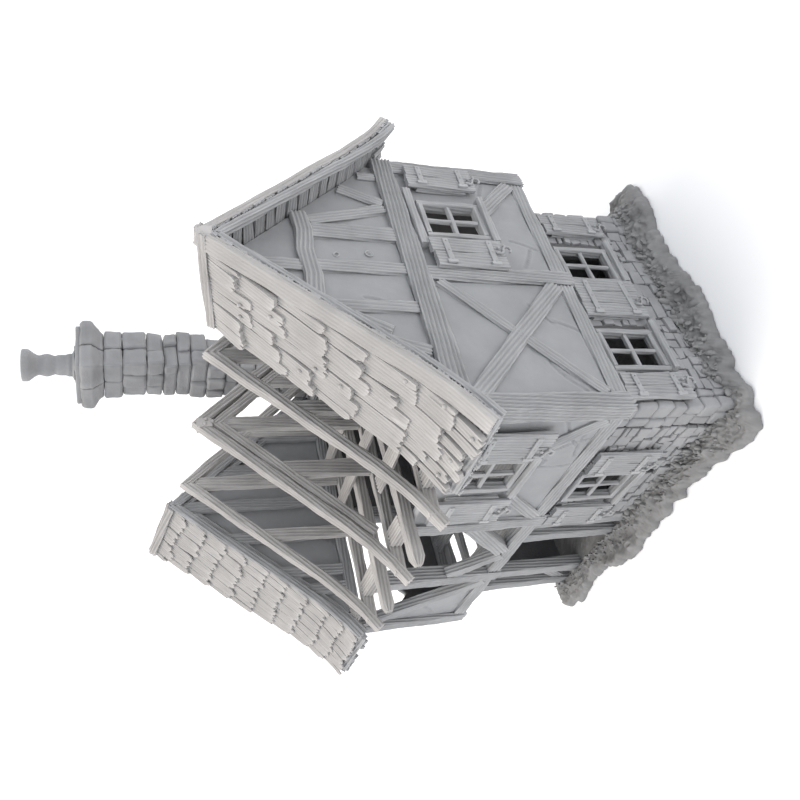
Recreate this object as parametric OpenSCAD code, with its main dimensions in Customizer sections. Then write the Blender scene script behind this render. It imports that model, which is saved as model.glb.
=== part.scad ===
// Ruined timber-framed house for tabletop games, at 28 to 32 mm figure scale.
// A stone ground storey stands on an earth base, a jettied timber storey lifts off it,
// and the broken roof lifts off that.
// X runs along the ridge towards the gable with windows, Y from the open front to the back, Z up.

/* [Plan] */
// Length of the timber storey over its posts
upper_l = 153; // [151:1:155]
// Depth of the timber storey over its posts
upper_w = 108; // [107:1:109]
// Overhang of the timber storey past the stone gables
jetty_x = 11.5; // [11:0.5:12.5]
// Overhang of the timber storey past the stone long walls
jetty_y = 8; // [7.5:0.5:8.5]

/* [Levels] */
// Thickness of the earth base
base_h = 3.5; // [3:0.5:4]
// Underside of the timber storey
floor_z = 54; // [53:1:55]
// Underside of the roof's plates and tie beams
plate_z = 104; // [103:1:105]
// Peak of the middle truss
peak_z = 169; // [167:1:171]
// Height of the roof over the tips of the eaves
eave_z = 107; // [106:0.5:108]
// Top of the chimney pot
pot_top_z = 229; // [227:1:231]

/* [Timber] */
// Section of a corner post
corner_post = 6; // [5.8:0.1:6.2]
// Width of the other posts
post_w = 5.5; // [5:0.1:5.8]
// Height of the sill beams
sill_h = 5.2; // [5:0.2:6]
// Thickness of the wall panels
panel_t = 3; // [2.5:0.5:3.5]
// Width of a slanting brace
brace_w = 4.4; // [4:0.2:5]
// Height of a rafter, straight down
rafter_h = 5.2; // [4.8:0.2:5.6]
// Thickness of a truss along the ridge
truss_t = 4; // [3.5:0.5:4.5]

/* [Stone] */
// Thickness of the stone walls
stone_t = 4; // [3.5:0.5:4.5]
// How far the quoins stand proud of the stone walls
quoin_proud = 1.5; // [1.2:0.1:1.6]
// Height of a quoin course
quoin_course = 5.5; // [5:0.5:6]
// Side of the chimney stack along the wall
stack_l = 20; // [19:0.5:20.5]
// Side of the chimney stack away from the wall
stack_d = 17.5; // [17:0.5:18.5]
// Height of a course of chimney stone
stack_course = 6.25; // [6:0.25:6.5]

/* [Windows] */
// Width of a window's glazed opening
glass_w = 14; // [13.5:0.1:14.2]
// Height of a window's glazed opening
glass_h = 18.5; // [18:0.1:18.8]
// Width of the window frame round the glass
frame_w = 1.8; // [1.5:0.1:2]
// Width of a glazing bar
bar_w = 1.4; // [1.2:0.1:1.8]
// Height of a shutter
shutter_h = 25; // [24:0.5:25.5]
// Thickness of a shutter plank
shutter_t = 1.8; // [1.5:0.1:2]

/* [Lift-off] */
// Side of the locating lugs under a storey
lug_w = 4; // [3:0.5:4]
// Height of the locating lugs under a storey
lug_h = 3; // [2:0.5:3]
// Gap between a lug and the wall that it locates against
lug_gap = 0.35; // [0.3:0.05:0.5]

/* [Hidden] */

stone_grey = "dimgray";
wood_grey = "gray";
plaster_grey = "darkgray";
earth_grey = "slategray";
roof_grey = "silver";

// Outer faces: u for the timber storey, g for the stone storey.
ux = upper_l / 2;
uy = upper_w / 2;
gx = ux - jetty_x;
gy = uy - jetty_y;

// Timber storey. Posts stand proud of the sills, and sills of the panels.
post_foot_z = floor_z - 1;
sill_set = 0.8;
panel_set = 1.5;
sill_top = floor_z + sill_h;
inner_x = ux - corner_post;
inner_y = uy - corner_post;
joist_h = 2.5;
board_h = 2;
board_top = floor_z + joist_h + board_h;
front_post_x = [-35.5, 7.5];
back_post_x = [-45, -5, 35];
mid_post_y = -3.5;
brace_t = 1;

// Windows: how far the frame stands out, and the height of each storey's windows
frame_proud = 1.7;
frame_depth = 3.2;
hole_w = glass_w + 2 * frame_w;
hole_h = glass_h + 2 * frame_w;
upper_z = 88.5;
ground_z = 34;
upper_front_x = 42.7;
upper_gable_y = 24.6;
ground_front_x = 21;
ground_gable_y = [-22.7, 17.7];
back_window_x = 20;

// Roof. Each slope is straight down to flare_y and then flattens towards the eave.
tie_h = 4.2;
tie_top = plate_z + tie_h;
gable_tie_h = 7;
gable_tie_top = plate_z + gable_tie_h;
eave_y = 65;
tail_y = 66.4;
flare_y = 42;
flare = 0.0105;
truss_x = [36.5, -0.7, -40];
truss_rise = [-1, 0, 1.8];
joist_x = [15.5, -20];
right_x = [51, 86.5];
left_x = [-92.5, -55];
right_ridge = [167.5, 173.5];
left_ridge = [181, 175];
cover_t = 2.2;
cover_thin = 1.2;
deck_gap = 0.1;
deck_t = 1.4;
ridge_gap = 0.1;
course_y = [ridge_gap, 9, 18, 27, 36, 44, 51, 58, eave_y];
rafter_gap = 0.2;
rafter_end = 62.5;

// Chimney
stack_x = -52;
stack_x2 = stack_x + stack_l;
stack_y = uy;
stack_y2 = uy + stack_d;
cap_z = 197.8;
cap_h = 11;
pot_x = stack_x + stack_l / 2;
pot_y = stack_y + stack_d / 2;

function span(a, b) = [min(a, b), max(a, b)];

// Height range of course i of n between z[0] and z[1], to a fiftieth, so that courses meet exactly
function course_z(z, n, i) = [for (k = [i, i + 1]) round((z[0] + (z[1] - z[0]) * k / n) * 50) / 50];

// Height of a roof slope at distance y from the ridge, under a ridge at height top.
function fall(top) = (top + flare * pow(eave_y - flare_y, 2) - eave_z) / eave_y;
function slope(y, top) = top - fall(top) * abs(y) + flare * pow(max(0, abs(y) - flare_y), 2);

// Ridge height at x on a roof whose ends are at xs and whose ridge runs between tops.
function ridge_at(x, xs, tops) = tops[0] + (tops[1] - tops[0]) * (x - xs[0]) / (xs[1] - xs[0]);

// A block from its ranges in x, y and z.
module block(x, y, z) {
    translate([x[0], y[0], z[0]]) cube([x[1] - x[0], y[1] - y[0], z[1] - z[0]]);
}

// A rectangle from its ranges along a wall and in height.
module pane(a, z) {
    translate([a[0], z[0]]) square([a[1] - a[0], z[1] - z[0]]);
}

// A drawing in x and z, given thickness from y towards +y.
module front_sheet(y, t) {
    translate([0, y + t, 0]) rotate([90, 0, 0]) linear_extrude(t) children();
}

// A drawing in y and z, given thickness from x towards +x.
module gable_sheet(x, t) {
    translate([x, 0, 0]) rotate([90, 0, 90]) linear_extrude(t) children();
}

// A straight strip of width w between two points of a drawing.
module strip(p, q, w) {
    d = q - p;
    n = [-d[1], d[0]] / norm(d) * w / 2;
    polygon([p - n, p + n, q + n, q - n]);
}

// ---- Ground storey ----

module earth_base() {
    color(earth_grey) linear_extrude(base_h) polygon([
        [-73, -56], [-58, -58], [-50, -54], [-12, -59], [9, -56], [33, -54], [58, -57], [69, -57],
        [72, -32], [75, -12], [77, 0], [74, 19], [77, 40], [76, 58], [40, 57], [0, 56],
        [-22, 60], [-26, 76], [-56, 77], [-62, 60], [-73, 54], [-75, 20], [-72, -20]
    ]);
}

// One length of the sloping bank of rubble, with its back against a wall.
module bank(length) {
    rotate([90, 0, 90]) linear_extrude(length)
        polygon([[0, base_h], [-7, base_h], [-4, base_h + 3], [0, base_h + 6]]);
}

module rubble_bank() {
    color(earth_grey) {
        translate([0, -gy, 0]) bank(54);
        translate([gx, -38, 0]) rotate([0, 0, 90]) bank(75);
        translate([55, gy, 0]) rotate([0, 0, 180]) bank(80);
        translate([-gx, 37, 0]) rotate([0, 0, -90]) bank(76);
    }
}

// The hole that a window frame fills.
module window_hole(along, z) {
    translate([along - hole_w / 2, z - hole_h / 2]) square([hole_w, hole_h]);
}

// The small square hole beside the front window is where a stone has fallen out.
module front_stone_wall() {
    color(stone_grey) front_sheet(-gy, stone_t) difference() {
        pane([-5, gx - 10], [base_h, floor_z]);
        window_hole(ground_front_x, ground_z);
        pane([26.5, 29.5], [13, 17]);
    }
}

module gable_stone_wall() {
    color(stone_grey) gable_sheet(gx - stone_t, stone_t) difference() {
        pane([-gy + 7, gy - 8], [base_h, floor_z]);
        for (y = ground_gable_y) window_hole(y, ground_z);
    }
}

module back_stone_wall() {
    color(stone_grey) front_sheet(gy - stone_t, stone_t) difference() {
        pane([-gx + 9, gx - 9], [base_h, floor_z]);
        window_hole(back_window_x, ground_z);
    }
}

// The left wall has lost the stones at its top, near the front corner.
module left_stone_wall() {
    color(stone_grey) gable_sheet(-gx, stone_t) polygon([
        [-gy + 5, base_h], [gy - 8, base_h], [gy - 8, floor_z], [-6, floor_z], [-9, 47],
        [-14, 46], [-16, 41], [-27, 41], [-30, 46], [-33, 47], [-34, floor_z], [-gy + 5, floor_z]
    ]);
}

// A corner pier between two plan corners, in courses that step in on one face and then the other.
module pier(inner, outer) {
    courses = floor((floor_z - base_h) / quoin_course);
    step = 0.6;
    for (i = [0:courses - 1])
        block(
            span(inner[0], outer[0] - sign(outer[0]) * step * (i % 2)),
            span(inner[1], outer[1] - sign(outer[1]) * step * (1 - i % 2)),
            course_z([base_h, floor_z], courses, i)
        );
}

module quoin_piers() {
    color(stone_grey) {
        pier([gx - 10, -gy + 7], [gx + quoin_proud, -gy - quoin_proud]);
        pier([gx - 9, gy - 8], [gx + quoin_proud, gy + quoin_proud]);
        pier([-gx + 9, gy - 8], [-gx - quoin_proud, gy + quoin_proud]);
    }
}

module ground_corner_post() {
    color(wood_grey) block([-gx - 0.5, -gx + 4.5], [-gy - 0.5, -gy + 5], [base_h, floor_z]);
}

// The posts each side of the doorway, and the post that ends the stone wall.
module door_posts() {
    color(wood_grey) for (x = [[-53, -47.5], [-20.5, -15.5], [-9.5, -5]])
        block(x, [-gy - 0.5, -gy + 4.5], [base_h, floor_z]);
}

module knee_brace() {
    color(wood_grey) front_sheet(-gy + 0.5, 3) intersection() {
        strip([-52, 21], [-62, 7], brace_w);
        pane([-gx + 4.5, -53], [base_h, floor_z]);
    }
}

// A window drawn for a wall that faces -y, about the middle of its glass: a frame with four
// panes, and a sill board under it.
module casement(sill = [-11, 11]) {
    pane_w = (glass_w - bar_w) / 2;
    pane_h = (glass_h - bar_w) / 2;
    front_sheet(-frame_proud, frame_depth) difference() {
        window_hole(0, 0);
        for (i = [0, 1], j = [0, 1])
            translate([-glass_w / 2 + i * (pane_w + bar_w), -glass_h / 2 + j * (pane_h + bar_w)])
                square([pane_w, pane_h]);
    }
    block(sill, [-3, 0], [-hole_h / 2 - 2.4, -hole_h / 2]);
}

// A shutter drawn the same way: planks side by side, two straps, and a batten on the wall.
module shutter(x, w, planks = 2) {
    gap = 0.3;
    plank_w = (w - gap * (planks - 1)) / planks;
    face = -frame_proud - shutter_t;
    for (i = [0:planks - 1])
        translate([x + i * (plank_w + gap), 0, 0])
            block([0, plank_w], [face, -frame_proud], [-shutter_h / 2, shutter_h / 2]);
    for (z = [-7.5, 7.5]) block([x + 0.5, x + w - 0.5], [face - 0.6, face], [z - 1.2, z + 1.2]);
    batten_x = x < 0 ? x + w - 2 : x;
    block([batten_x, batten_x + 2], [-frame_proud, 0], [-9, 9]);
}

// Places what is drawn for a wall that faces -y on the face of a gable or of the back.
module on_gable(x, y, z) {
    translate([x, y, z]) rotate([0, 0, 90]) children();
}

module on_back(x, y, z) {
    translate([x, y, z]) rotate([0, 0, 180]) children();
}

module ground_front_window() {
    color(wood_grey) translate([ground_front_x, -gy, ground_z]) casement();
}

module ground_gable_windows() {
    color(wood_grey) for (y = ground_gable_y) on_gable(gx, y, ground_z) casement([-9, 12]);
}

module ground_back_window() {
    color(wood_grey) on_back(back_window_x, gy, ground_z) casement();
}

module ground_shutters() {
    color(wood_grey) {
        translate([ground_front_x, -gy, ground_z]) {
            shutter(-22.4, 11);
            shutter(11.4, 11.5);
        }
        on_gable(gx, ground_gable_y[0], ground_z) {
            shutter(-21.5, 10);
            shutter(13.7, 17, 3);
        }
        on_gable(gx, ground_gable_y[1], ground_z) shutter(14.6, 10);
        on_back(back_window_x, gy, ground_z) {
            shutter(-23, 11.5);
            shutter(11.5, 11.5);
        }
    }
}

// Stack of stone courses between two heights, alternate courses stepping in a little.
module stone_stack(x, y, z) {
    courses = round((z[1] - z[0]) / stack_course);
    step = 0.5;
    for (i = [0:courses - 1]) {
        in_x = step * (i % 2);
        in_y = step * (1 - i % 2);
        block([x[0] + in_x, x[1] - in_x], [y[0], y[1] - in_y], course_z(z, courses, i));
    }
}

// The foot of the chimney reaches in under the overhang to the stone wall.
module chimney_base() {
    color(stone_grey) {
        stone_stack([stack_x - 1.5, stack_x2 + 1], [gy, stack_y2 + 1], [base_h, post_foot_z - 2]);
        block([stack_x - 1, stack_x2 + 0.5], [uy + 0.4, stack_y2 + 0.5], [post_foot_z - 2, floor_z]);
    }
}

// ---- Timber storey ----

module floor_joists() {
    color(wood_grey) for (x = [-66, -52, -35, -18, 0, 18, 35, 52, 66])
        block([x - 2, x + 2], [-inner_y, inner_y], [floor_z, floor_z + joist_h]);
}

// Floor boards along the house. Two are missing over the open corner.
module floor_boards() {
    count = 12;
    pitch = 2 * inner_y / count;
    gap = 0.4;
    color(wood_grey) for (i = [0:count - 1]) {
        left = i == 1 ? -31 : i == 2 ? -39 : -inner_x;
        y = -inner_y + i * pitch;
        block([left, inner_x], [y, y + pitch - gap], [floor_z + joist_h, board_top]);
    }
}

// Lugs under the floor locate the storey between the corner piers of the stone walls.
module floor_lugs() {
    x = gx - 10 - lug_gap;
    y = gy - stone_t - lug_gap;
    color(wood_grey) for (c = [[x, -y], [x, y], [-x, y]])
        block(
            span(c[0], c[0] - sign(c[0]) * lug_w),
            span(c[1], c[1] - sign(c[1]) * lug_w),
            [floor_z - lug_h, floor_z]
        );
}

module post_blocks() {
    for (x = [-ux, inner_x], y = [-uy, inner_y])
        block([x, x + corner_post], [y, y + corner_post], [post_foot_z, plate_z]);
}

module corner_posts() {
    color(wood_grey) post_blocks();
}

module front_post_blocks() {
    for (x = front_post_x) block([x, x + post_w], [-uy, -inner_y], [post_foot_z, plate_z]);
}

module front_posts() {
    color(wood_grey) front_post_blocks();
}

module back_post_blocks() {
    for (x = back_post_x) block([x, x + post_w], [inner_y, uy], [post_foot_z, plate_z]);
}

module back_posts() {
    color(wood_grey) back_post_blocks();
}

module gable_post_blocks() {
    for (x = [-ux, inner_x])
        block([x, x + corner_post], [mid_post_y, mid_post_y + post_w], [post_foot_z, plate_z]);
}

module gable_posts() {
    color(wood_grey) gable_post_blocks();
}

module long_sills() {
    color(wood_grey) difference() {
        for (y = [[-uy + sill_set, -inner_y], [inner_y, uy - sill_set]])
            block([-inner_x, inner_x], y, [floor_z, sill_top]);
        front_post_blocks();
        back_post_blocks();
    }
}

module gable_sills() {
    color(wood_grey) difference() {
        for (x = [[-ux + sill_set, -inner_x], [inner_x, ux - sill_set]])
            block(x, [-inner_y, inner_y], [floor_z, sill_top]);
        gable_post_blocks();
    }
}

module front_panel() {
    color(plaster_grey) front_sheet(-uy + panel_set, panel_t) difference() {
        pane([front_post_x[1] + post_w, inner_x], [sill_top, plate_z]);
        window_hole(upper_front_x, upper_z);
    }
}

// Centre lines of the braces in the two open bays of the front
bay_left_brace = [[-74, 105], [-38, 56]];
bay_mid_braces = [[[-33, 79], [-16, 57]], [[9, 82], [-15, 57.5]]];
bay_left = [-inner_x, front_post_x[0]];
bay_mid = [front_post_x[0] + post_w, front_post_x[1]];

// Infill left in the corner under the long brace of the left bay
module bay_panel() {
    color(plaster_grey) front_sheet(-uy + panel_set + 0.5, 2) difference() {
        intersection() {
            pane(bay_left, [sill_top, plate_z]);
            polygon([[-80, 50], [-80, 112], bay_left_brace[0], bay_left_brace[1], [-38, 50]]);
        }
        strip(bay_left_brace[0], bay_left_brace[1], brace_w);
    }
}

module bay_braces() {
    color(wood_grey) front_sheet(-uy + 0.6, 4) {
        intersection() {
            strip(bay_left_brace[0], bay_left_brace[1], brace_w);
            pane(bay_left, [sill_top, plate_z]);
        }
        intersection() {
            for (b = bay_mid_braces) strip(b[0], b[1], brace_w);
            pane(bay_mid, [sill_top, plate_z]);
        }
    }
}

gable_bays = [[-inner_y, mid_post_y], [mid_post_y + post_w, inner_y]];

module gable_panels() {
    color(plaster_grey) gable_sheet(ux - panel_set - panel_t, panel_t) difference() {
        for (bay = gable_bays) pane(bay, [sill_top, plate_z]);
        window_hole(upper_gable_y, upper_z);
    }
}

// A cross of two braces in one bay, and a short brace under the window of the other.
module gable_braces() {
    color(wood_grey) gable_sheet(ux - panel_set, brace_t) {
        intersection() {
            union() {
                strip([-49, 103.6], [-4, 57], brace_w);
                strip([-3, 102.8], [-50, 55.6], brace_w);
            }
            pane(gable_bays[0], [sill_top, plate_z]);
        }
        intersection() {
            strip([33, 74], [47, 56.5], brace_w);
            pane(gable_bays[1], [sill_top, upper_z - hole_h / 2 - 2.6]);
        }
    }
}

module front_low_braces() {
    color(wood_grey) front_sheet(-uy + panel_set - brace_t, brace_t) intersection() {
        union() {
            strip([11, 54], [29, 76], brace_w);
            strip([72, 55], [54, 76], brace_w);
        }
        pane([front_post_x[1] + post_w, inner_x], [sill_top, upper_z - hole_h / 2 - 2.6]);
    }
}

module back_panels() {
    left = concat([-inner_x], [for (x = back_post_x) x + post_w]);
    right = concat(back_post_x, [inner_x]);
    bays = [for (i = [0:len(left) - 1]) [left[i], right[i]]];
    color(plaster_grey) front_sheet(uy - panel_set - panel_t, panel_t) difference() {
        for (bay = bays) pane(bay, [sill_top, plate_z]);
        window_hole(back_window_x, upper_z);
    }
}

// The left gable's wall is broken away above sill height in the bay next to the open front.
module left_panels() {
    color(plaster_grey) gable_sheet(-ux + panel_set, panel_t) {
        pane(gable_bays[0], [sill_top, 80]);
        pane(gable_bays[1], [sill_top, plate_z]);
    }
}

module upper_front_window() {
    color(wood_grey) translate([upper_front_x, -uy + panel_set, upper_z]) casement();
}

// The gable's window has a head board over it too.
module upper_gable_window() {
    color(wood_grey) on_gable(ux - panel_set, upper_gable_y, upper_z) {
        casement();
        block([-13.5, 13.5], [-2.6, 0], [hole_h / 2 + 1.6, hole_h / 2 + 4.2]);
    }
}

module upper_back_window() {
    color(wood_grey) on_back(back_window_x, uy - panel_set, upper_z) casement();
}

module upper_shutters() {
    color(wood_grey) {
        translate([upper_front_x, -uy + panel_set, upper_z]) {
            shutter(-25, 12.4);
            shutter(11.4, 12.4);
        }
        on_gable(ux - panel_set, upper_gable_y, upper_z) {
            shutter(-24, 12.4);
            shutter(14.6, 10.6);
        }
        on_back(back_window_x, uy - panel_set, upper_z) shutter(-12.4 - 11.4, 12.4);
    }
}

module chimney_middle() {
    color(stone_grey)
        stone_stack([stack_x - 1, stack_x2 + 0.5], [stack_y, stack_y2 + 0.5], [floor_z, plate_z]);
}

// ---- Roof ----

// The places along the ridge that the tie beams and joists take up on the plates
module tie_slots() {
    for (x = concat(truss_x, joist_x))
        block([x - truss_t / 2, x + truss_t / 2], [-uy - 1, uy + 1], [plate_z - 1, tie_top + 1]);
}

// What is left of the front plate: lengths of timber between the tie beams
module front_plate() {
    color(wood_grey) difference() {
        for (x = [[-inner_x, -58], [truss_x[2], joist_x[1]], [truss_x[1], joist_x[0]], [truss_x[0], inner_x]])
            block(x, [-uy, -inner_y], [plate_z, tie_top]);
        tie_slots();
    }
}

module back_plate() {
    color(wood_grey) difference() {
        block([-inner_x, inner_x], [inner_y, uy], [plate_z, tie_top]);
        tie_slots();
    }
}

module gable_tie_beams() {
    color(wood_grey) for (x = [[-ux - 0.4, -inner_x], [inner_x, ux + 0.4]])
        block(x, [-uy, uy], [plate_z, gable_tie_top]);
}

// Lugs under the roof locate it inside the timber walls: two pairs under the outer trusses,
// and one hooked on each gable's tie beam.
module roof_lugs() {
    y = inner_y - lug_gap;
    x = inner_x - lug_gap;
    z = [plate_z - lug_h, plate_z];
    color(wood_grey) {
        for (tx = [truss_x[0], truss_x[2]], side = [-1, 1])
            block([tx - 2, tx + 2], span(side * y, side * (y - lug_w)), z);
        for (side = [-1, 1]) {
            block(span(side * x, side * (x - lug_w)), [-2, 2], z);
            block(span(side * inner_x, side * (x - lug_w)), [-2, 2], [plate_z, plate_z + 2]);
        }
    }
}

module attic_joists() {
    color(wood_grey) for (x = joist_x)
        gable_sheet(x - truss_t / 2, truss_t) polygon([
            [-eave_y - 1, plate_z], [-eave_y - 3, plate_z + 1.6], [-eave_y - 1, tie_top],
            [eave_y - 3, tie_top], [eave_y - 1, plate_z + 1.6], [eave_y - 3, plate_z]
        ]);
}

// The few attic boards still lying across the joists
module attic_boards() {
    color(wood_grey) {
        for (y = [-16, 7, 32]) block([-52, 34], [y, y + 6], [tie_top, tie_top + 1.4]);
        block([6, 50], [-36, -29], [tie_top, tie_top + 1.4]);
    }
}

// One curved rafter of a pair, from the peak at height top out to y_end, with its foot cut level.
module rafter_shape(top, y_end, h, drop) {
    steps = 9;
    ys = [for (i = [0:steps]) y_end * i / steps];
    polygon(concat(
        [for (y = ys) [y, slope(y, top) - drop]],
        [for (i = [steps:-1:0]) [ys[i], max(plate_z, slope(ys[i], top) - drop - h)]]
    ));
}

// Both rafters of a pair, the back one cut short at back_end
module rafters_shape(top, end, back_end, h = rafter_h, drop = 0) {
    mirror([1, 0]) rafter_shape(top, end, h, drop);
    rafter_shape(top, min(end, back_end), h, drop);
}

// A truss: a pair of rafters on a tie beam, a king post, and a queen post at each side. The doubled
// truss has a second pair of rafters inside the first. Its timbers meet face to face.
module truss_shape(top, queen_y, doubled, back_end) {
    gap = 1.4;
    under = doubled ? 2 * rafter_h + gap : rafter_h;
    rafters_shape(top, tail_y, back_end);
    if (doubled)
        difference() {
            rafters_shape(top, 50, back_end, rafter_h, rafter_h + gap);
            pane([-tail_y, tail_y], [0, tie_top]);
        }
    difference() {
        pane([-tail_y + 3, min(back_end, tail_y - 3)], [plate_z, tie_top]);
        rafters_shape(top, tail_y, back_end);
    }
    difference() {
        union() {
            polygon([[-3.6, tie_top], [-2.6, top], [2.6, top], [3.6, tie_top]]);
            for (side = [-1, 1])
                translate([side * queen_y - 2.3, tie_top]) square([4.6, slope(queen_y, top) - tie_top]);
        }
        rafters_shape(top, tail_y, tail_y, under);
    }
}

module truss(i, queen_y, doubled = false, back_end = tail_y) {
    gable_sheet(truss_x[i] - truss_t / 2, truss_t)
        truss_shape(peak_z + truss_rise[i], queen_y, doubled, back_end);
}

module truss_right() {
    color(wood_grey) truss(0, 22);
}

module truss_middle() {
    color(wood_grey) truss(1, 20.6, true);
}

// The left truss stops against the chimney.
module truss_left() {
    color(wood_grey) truss(2, 25, false, uy);
}

// The triangle of a gable, from height z0 up to just under the boards of a roof with ridge top
module gable_area(z0, top) {
    drop = cover_t + deck_gap + deck_t + rafter_gap;
    half = 51;
    ys = concat([for (y = course_y) if (y < half) y], [half]);
    back = [for (y = ys) [y, slope(y, top) - drop]];
    front = [for (i = [len(ys) - 1:-1:0]) [-back[i][0], back[i][1]]];
    polygon(concat([[half, z0], [-half, z0]], front, back));
}

// Timbers on the face of the window gable: a collar, three studs and slanting struts.
module gable_timbers() {
    pane([-50, 50], [138, 143.2]);
    for (y = [[-18, -13.5], [-2, 2.8], [12.6, 19]]) pane(y, [100, 190]);
    strip([19.6, 141.5], [29, 108], brace_w);
    strip([42, 132], [31, 108], brace_w);
    strip([45, 130], [45, 100], 3);
    strip([-23.6, 141.5], [-33, 108], brace_w);
    strip([-45, 130], [-45, 100], 3);
}

gable_top = ridge_at(ux - panel_set - panel_t, right_x, right_ridge);

module gable_infill() {
    color(plaster_grey) gable_sheet(ux - panel_set - panel_t, panel_t)
        gable_area(gable_tie_top, gable_top);
}

module gable_studs() {
    color(wood_grey) gable_sheet(ux - panel_set, 1.3) intersection() {
        gable_timbers();
        gable_area(gable_tie_top, gable_top);
    }
}

// The closed end of the left roof, on the side of the trusses
left_end_x = left_x[1] - 3.4;
left_end_top = ridge_at(left_x[1], left_x, left_ridge);
left_gable_top = ridge_at(-ux + panel_set + panel_t, left_x, left_ridge);

module left_gable_infill() {
    color(plaster_grey) {
        gable_sheet(left_end_x - 1.6, 1.6) gable_area(tie_top, left_end_top);
        gable_sheet(-ux + panel_set, panel_t) gable_area(gable_tie_top, left_gable_top);
    }
}

module left_gable_studs() {
    color(wood_grey) {
        gable_sheet(left_end_x, 2.4) intersection() {
            for (y = [-33, -16.4, -0.8, 16, 33]) pane([y - 2.5, y + 2.5], [100, 190]);
            gable_area(tie_top, left_end_top);
        }
        block([left_end_x - 1.6, left_end_x + 2.4], [-inner_y, inner_y], [plate_z, tie_top]);
    }
}

// Closes a row of rings, each a loop of points at one x, into a solid.
module loft(rings) {
    n = len(rings[0]);
    m = len(rings);
    sides = [
        for (i = [0:m - 2], j = [0:n - 1]) let (
            a = i * n + j,
            b = i * n + (j + 1) % n,
            c = (i + 1) * n + (j + 1) % n,
            d = (i + 1) * n + j
        ) each [[a, b, c], [a, c, d]]
    ];
    first = [for (j = [n - 1:-1:0]) j];
    last = [for (j = [0:n - 1]) (m - 1) * n + j];
    polyhedron([for (r = rings) each r], concat([first], sides, [last]));
}

// Part of one slope of a roof between distances ys from the ridge. Its underside and its top lie
// the drops low and high below the slope, given at each y.
module slope_solid(xs, tops, ys, low, high) {
    stations = 4;
    loft([
        for (i = [0:stations]) let (
            x = xs[0] + (xs[1] - xs[0]) * i / stations,
            top = ridge_at(x, xs, tops)
        ) concat(
            [for (k = [0:len(ys) - 1]) [x, ys[k], slope(ys[k], top) - low[k]]],
            [for (k = [len(ys) - 1:-1:0]) [x, ys[k], slope(ys[k], top) - high[k]]]
        )
    ]);
}

module both_slopes() {
    children();
    mirror([0, 1, 0]) children();
}

// Both slopes in courses, each with its own pair of drops at its top and at its lower edge
module slope_courses(xs, tops, low, high) {
    both_slopes() for (k = [0:len(course_y) - 2])
        slope_solid(xs, tops, [course_y[k], course_y[k + 1]], low, high);
}

module roof_boards(xs, tops) {
    top = cover_t + deck_gap;
    slope_courses(xs, tops, [top + deck_t, top + deck_t], [top, top]);
}

module right_roof_boards() {
    color(wood_grey) roof_boards(right_x, right_ridge);
}

module left_roof_boards() {
    color(wood_grey) roof_boards(left_x, left_ridge);
}

// The courses of shingles: each is thin at its top and thick at its lower edge.
module shingle_courses(xs, tops) {
    slope_courses(xs, tops, [cover_t, cover_t], [cover_t - cover_thin, 0]);
}

module right_shingles() {
    color(roof_grey) shingle_courses(right_x, right_ridge);
}

module left_shingles() {
    color(roof_grey) shingle_courses(left_x, left_ridge);
}

// A pair of rafters under the roof boards at x, notched over the plates
module rafter_pair(x, xs, tops, t = 3) {
    top = min(ridge_at(x, xs, tops), ridge_at(x + t, xs, tops));
    drop = cover_t + deck_gap + deck_t + rafter_gap;
    gable_sheet(x, t) difference() {
        rafters_shape(top, rafter_end, rafter_end, rafter_h, drop);
        pane([-uy, uy], [0, tie_top]);
    }
}

module right_rafters() {
    color(wood_grey) for (x = [51.5, 61, 83]) rafter_pair(x, right_x, right_ridge);
}

module left_rafters() {
    color(wood_grey) for (x = [-92, -85, -69]) rafter_pair(x, left_x, left_ridge);
}

// A board over each ridge, in two slopes that lie just clear of the top course
module ridge_cap(xs, tops) {
    w = 4;
    t = 1.3;
    clear = 0.15;
    step = cover_t - cover_thin;
    low = [step - clear, step * (1 - w / course_y[1]) - clear];
    both_slopes() slope_solid(xs, tops, [0, w], low, [for (d = low) d - t]);
}

module ridge_caps() {
    color(roof_grey) {
        ridge_cap(right_x, right_ridge);
        ridge_cap(left_x, left_ridge);
    }
}

module chimney_stack() {
    color(stone_grey)
        stone_stack([stack_x, stack_x2], [stack_y, stack_y2], [plate_z, cap_z]);
}

// Moulded stones and a square slab on top of the stack
module chimney_cap() {
    module slab(out, z, h) {
        block([stack_x - out, stack_x2 + out], [stack_y - out, stack_y2 + out], [z, z + h]);
    }
    color(stone_grey) {
        slab(1.5, cap_z, 1.8);
        slab(3, cap_z + 1.8, 1.8);
        slab(4, cap_z + 3.6, 5);
        slab(2.8, cap_z + 8.6, cap_h - 8.6);
    }
}

// A turned clay pot: a spread foot, two rolls and a flared rim
module chimney_pot() {
    z = cap_z + cap_h;
    h = pot_top_z - z;
    color(stone_grey) translate([pot_x, pot_y, z]) rotate_extrude($fn = 48) polygon([
        [0, 0], [7.2, 0], [7.2, 1.4], [4.6, 3], [4.2, 4.6], [5, 6], [5, 7.4], [3.9, 9], [4.8, 10.8],
        [4.8, 12], [3.9, 13.8], [4.4, h - 4], [6.8, h - 1.6], [6.8, h], [4.6, h], [3, h - 4], [0, h - 4]
    ]);
}

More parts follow.
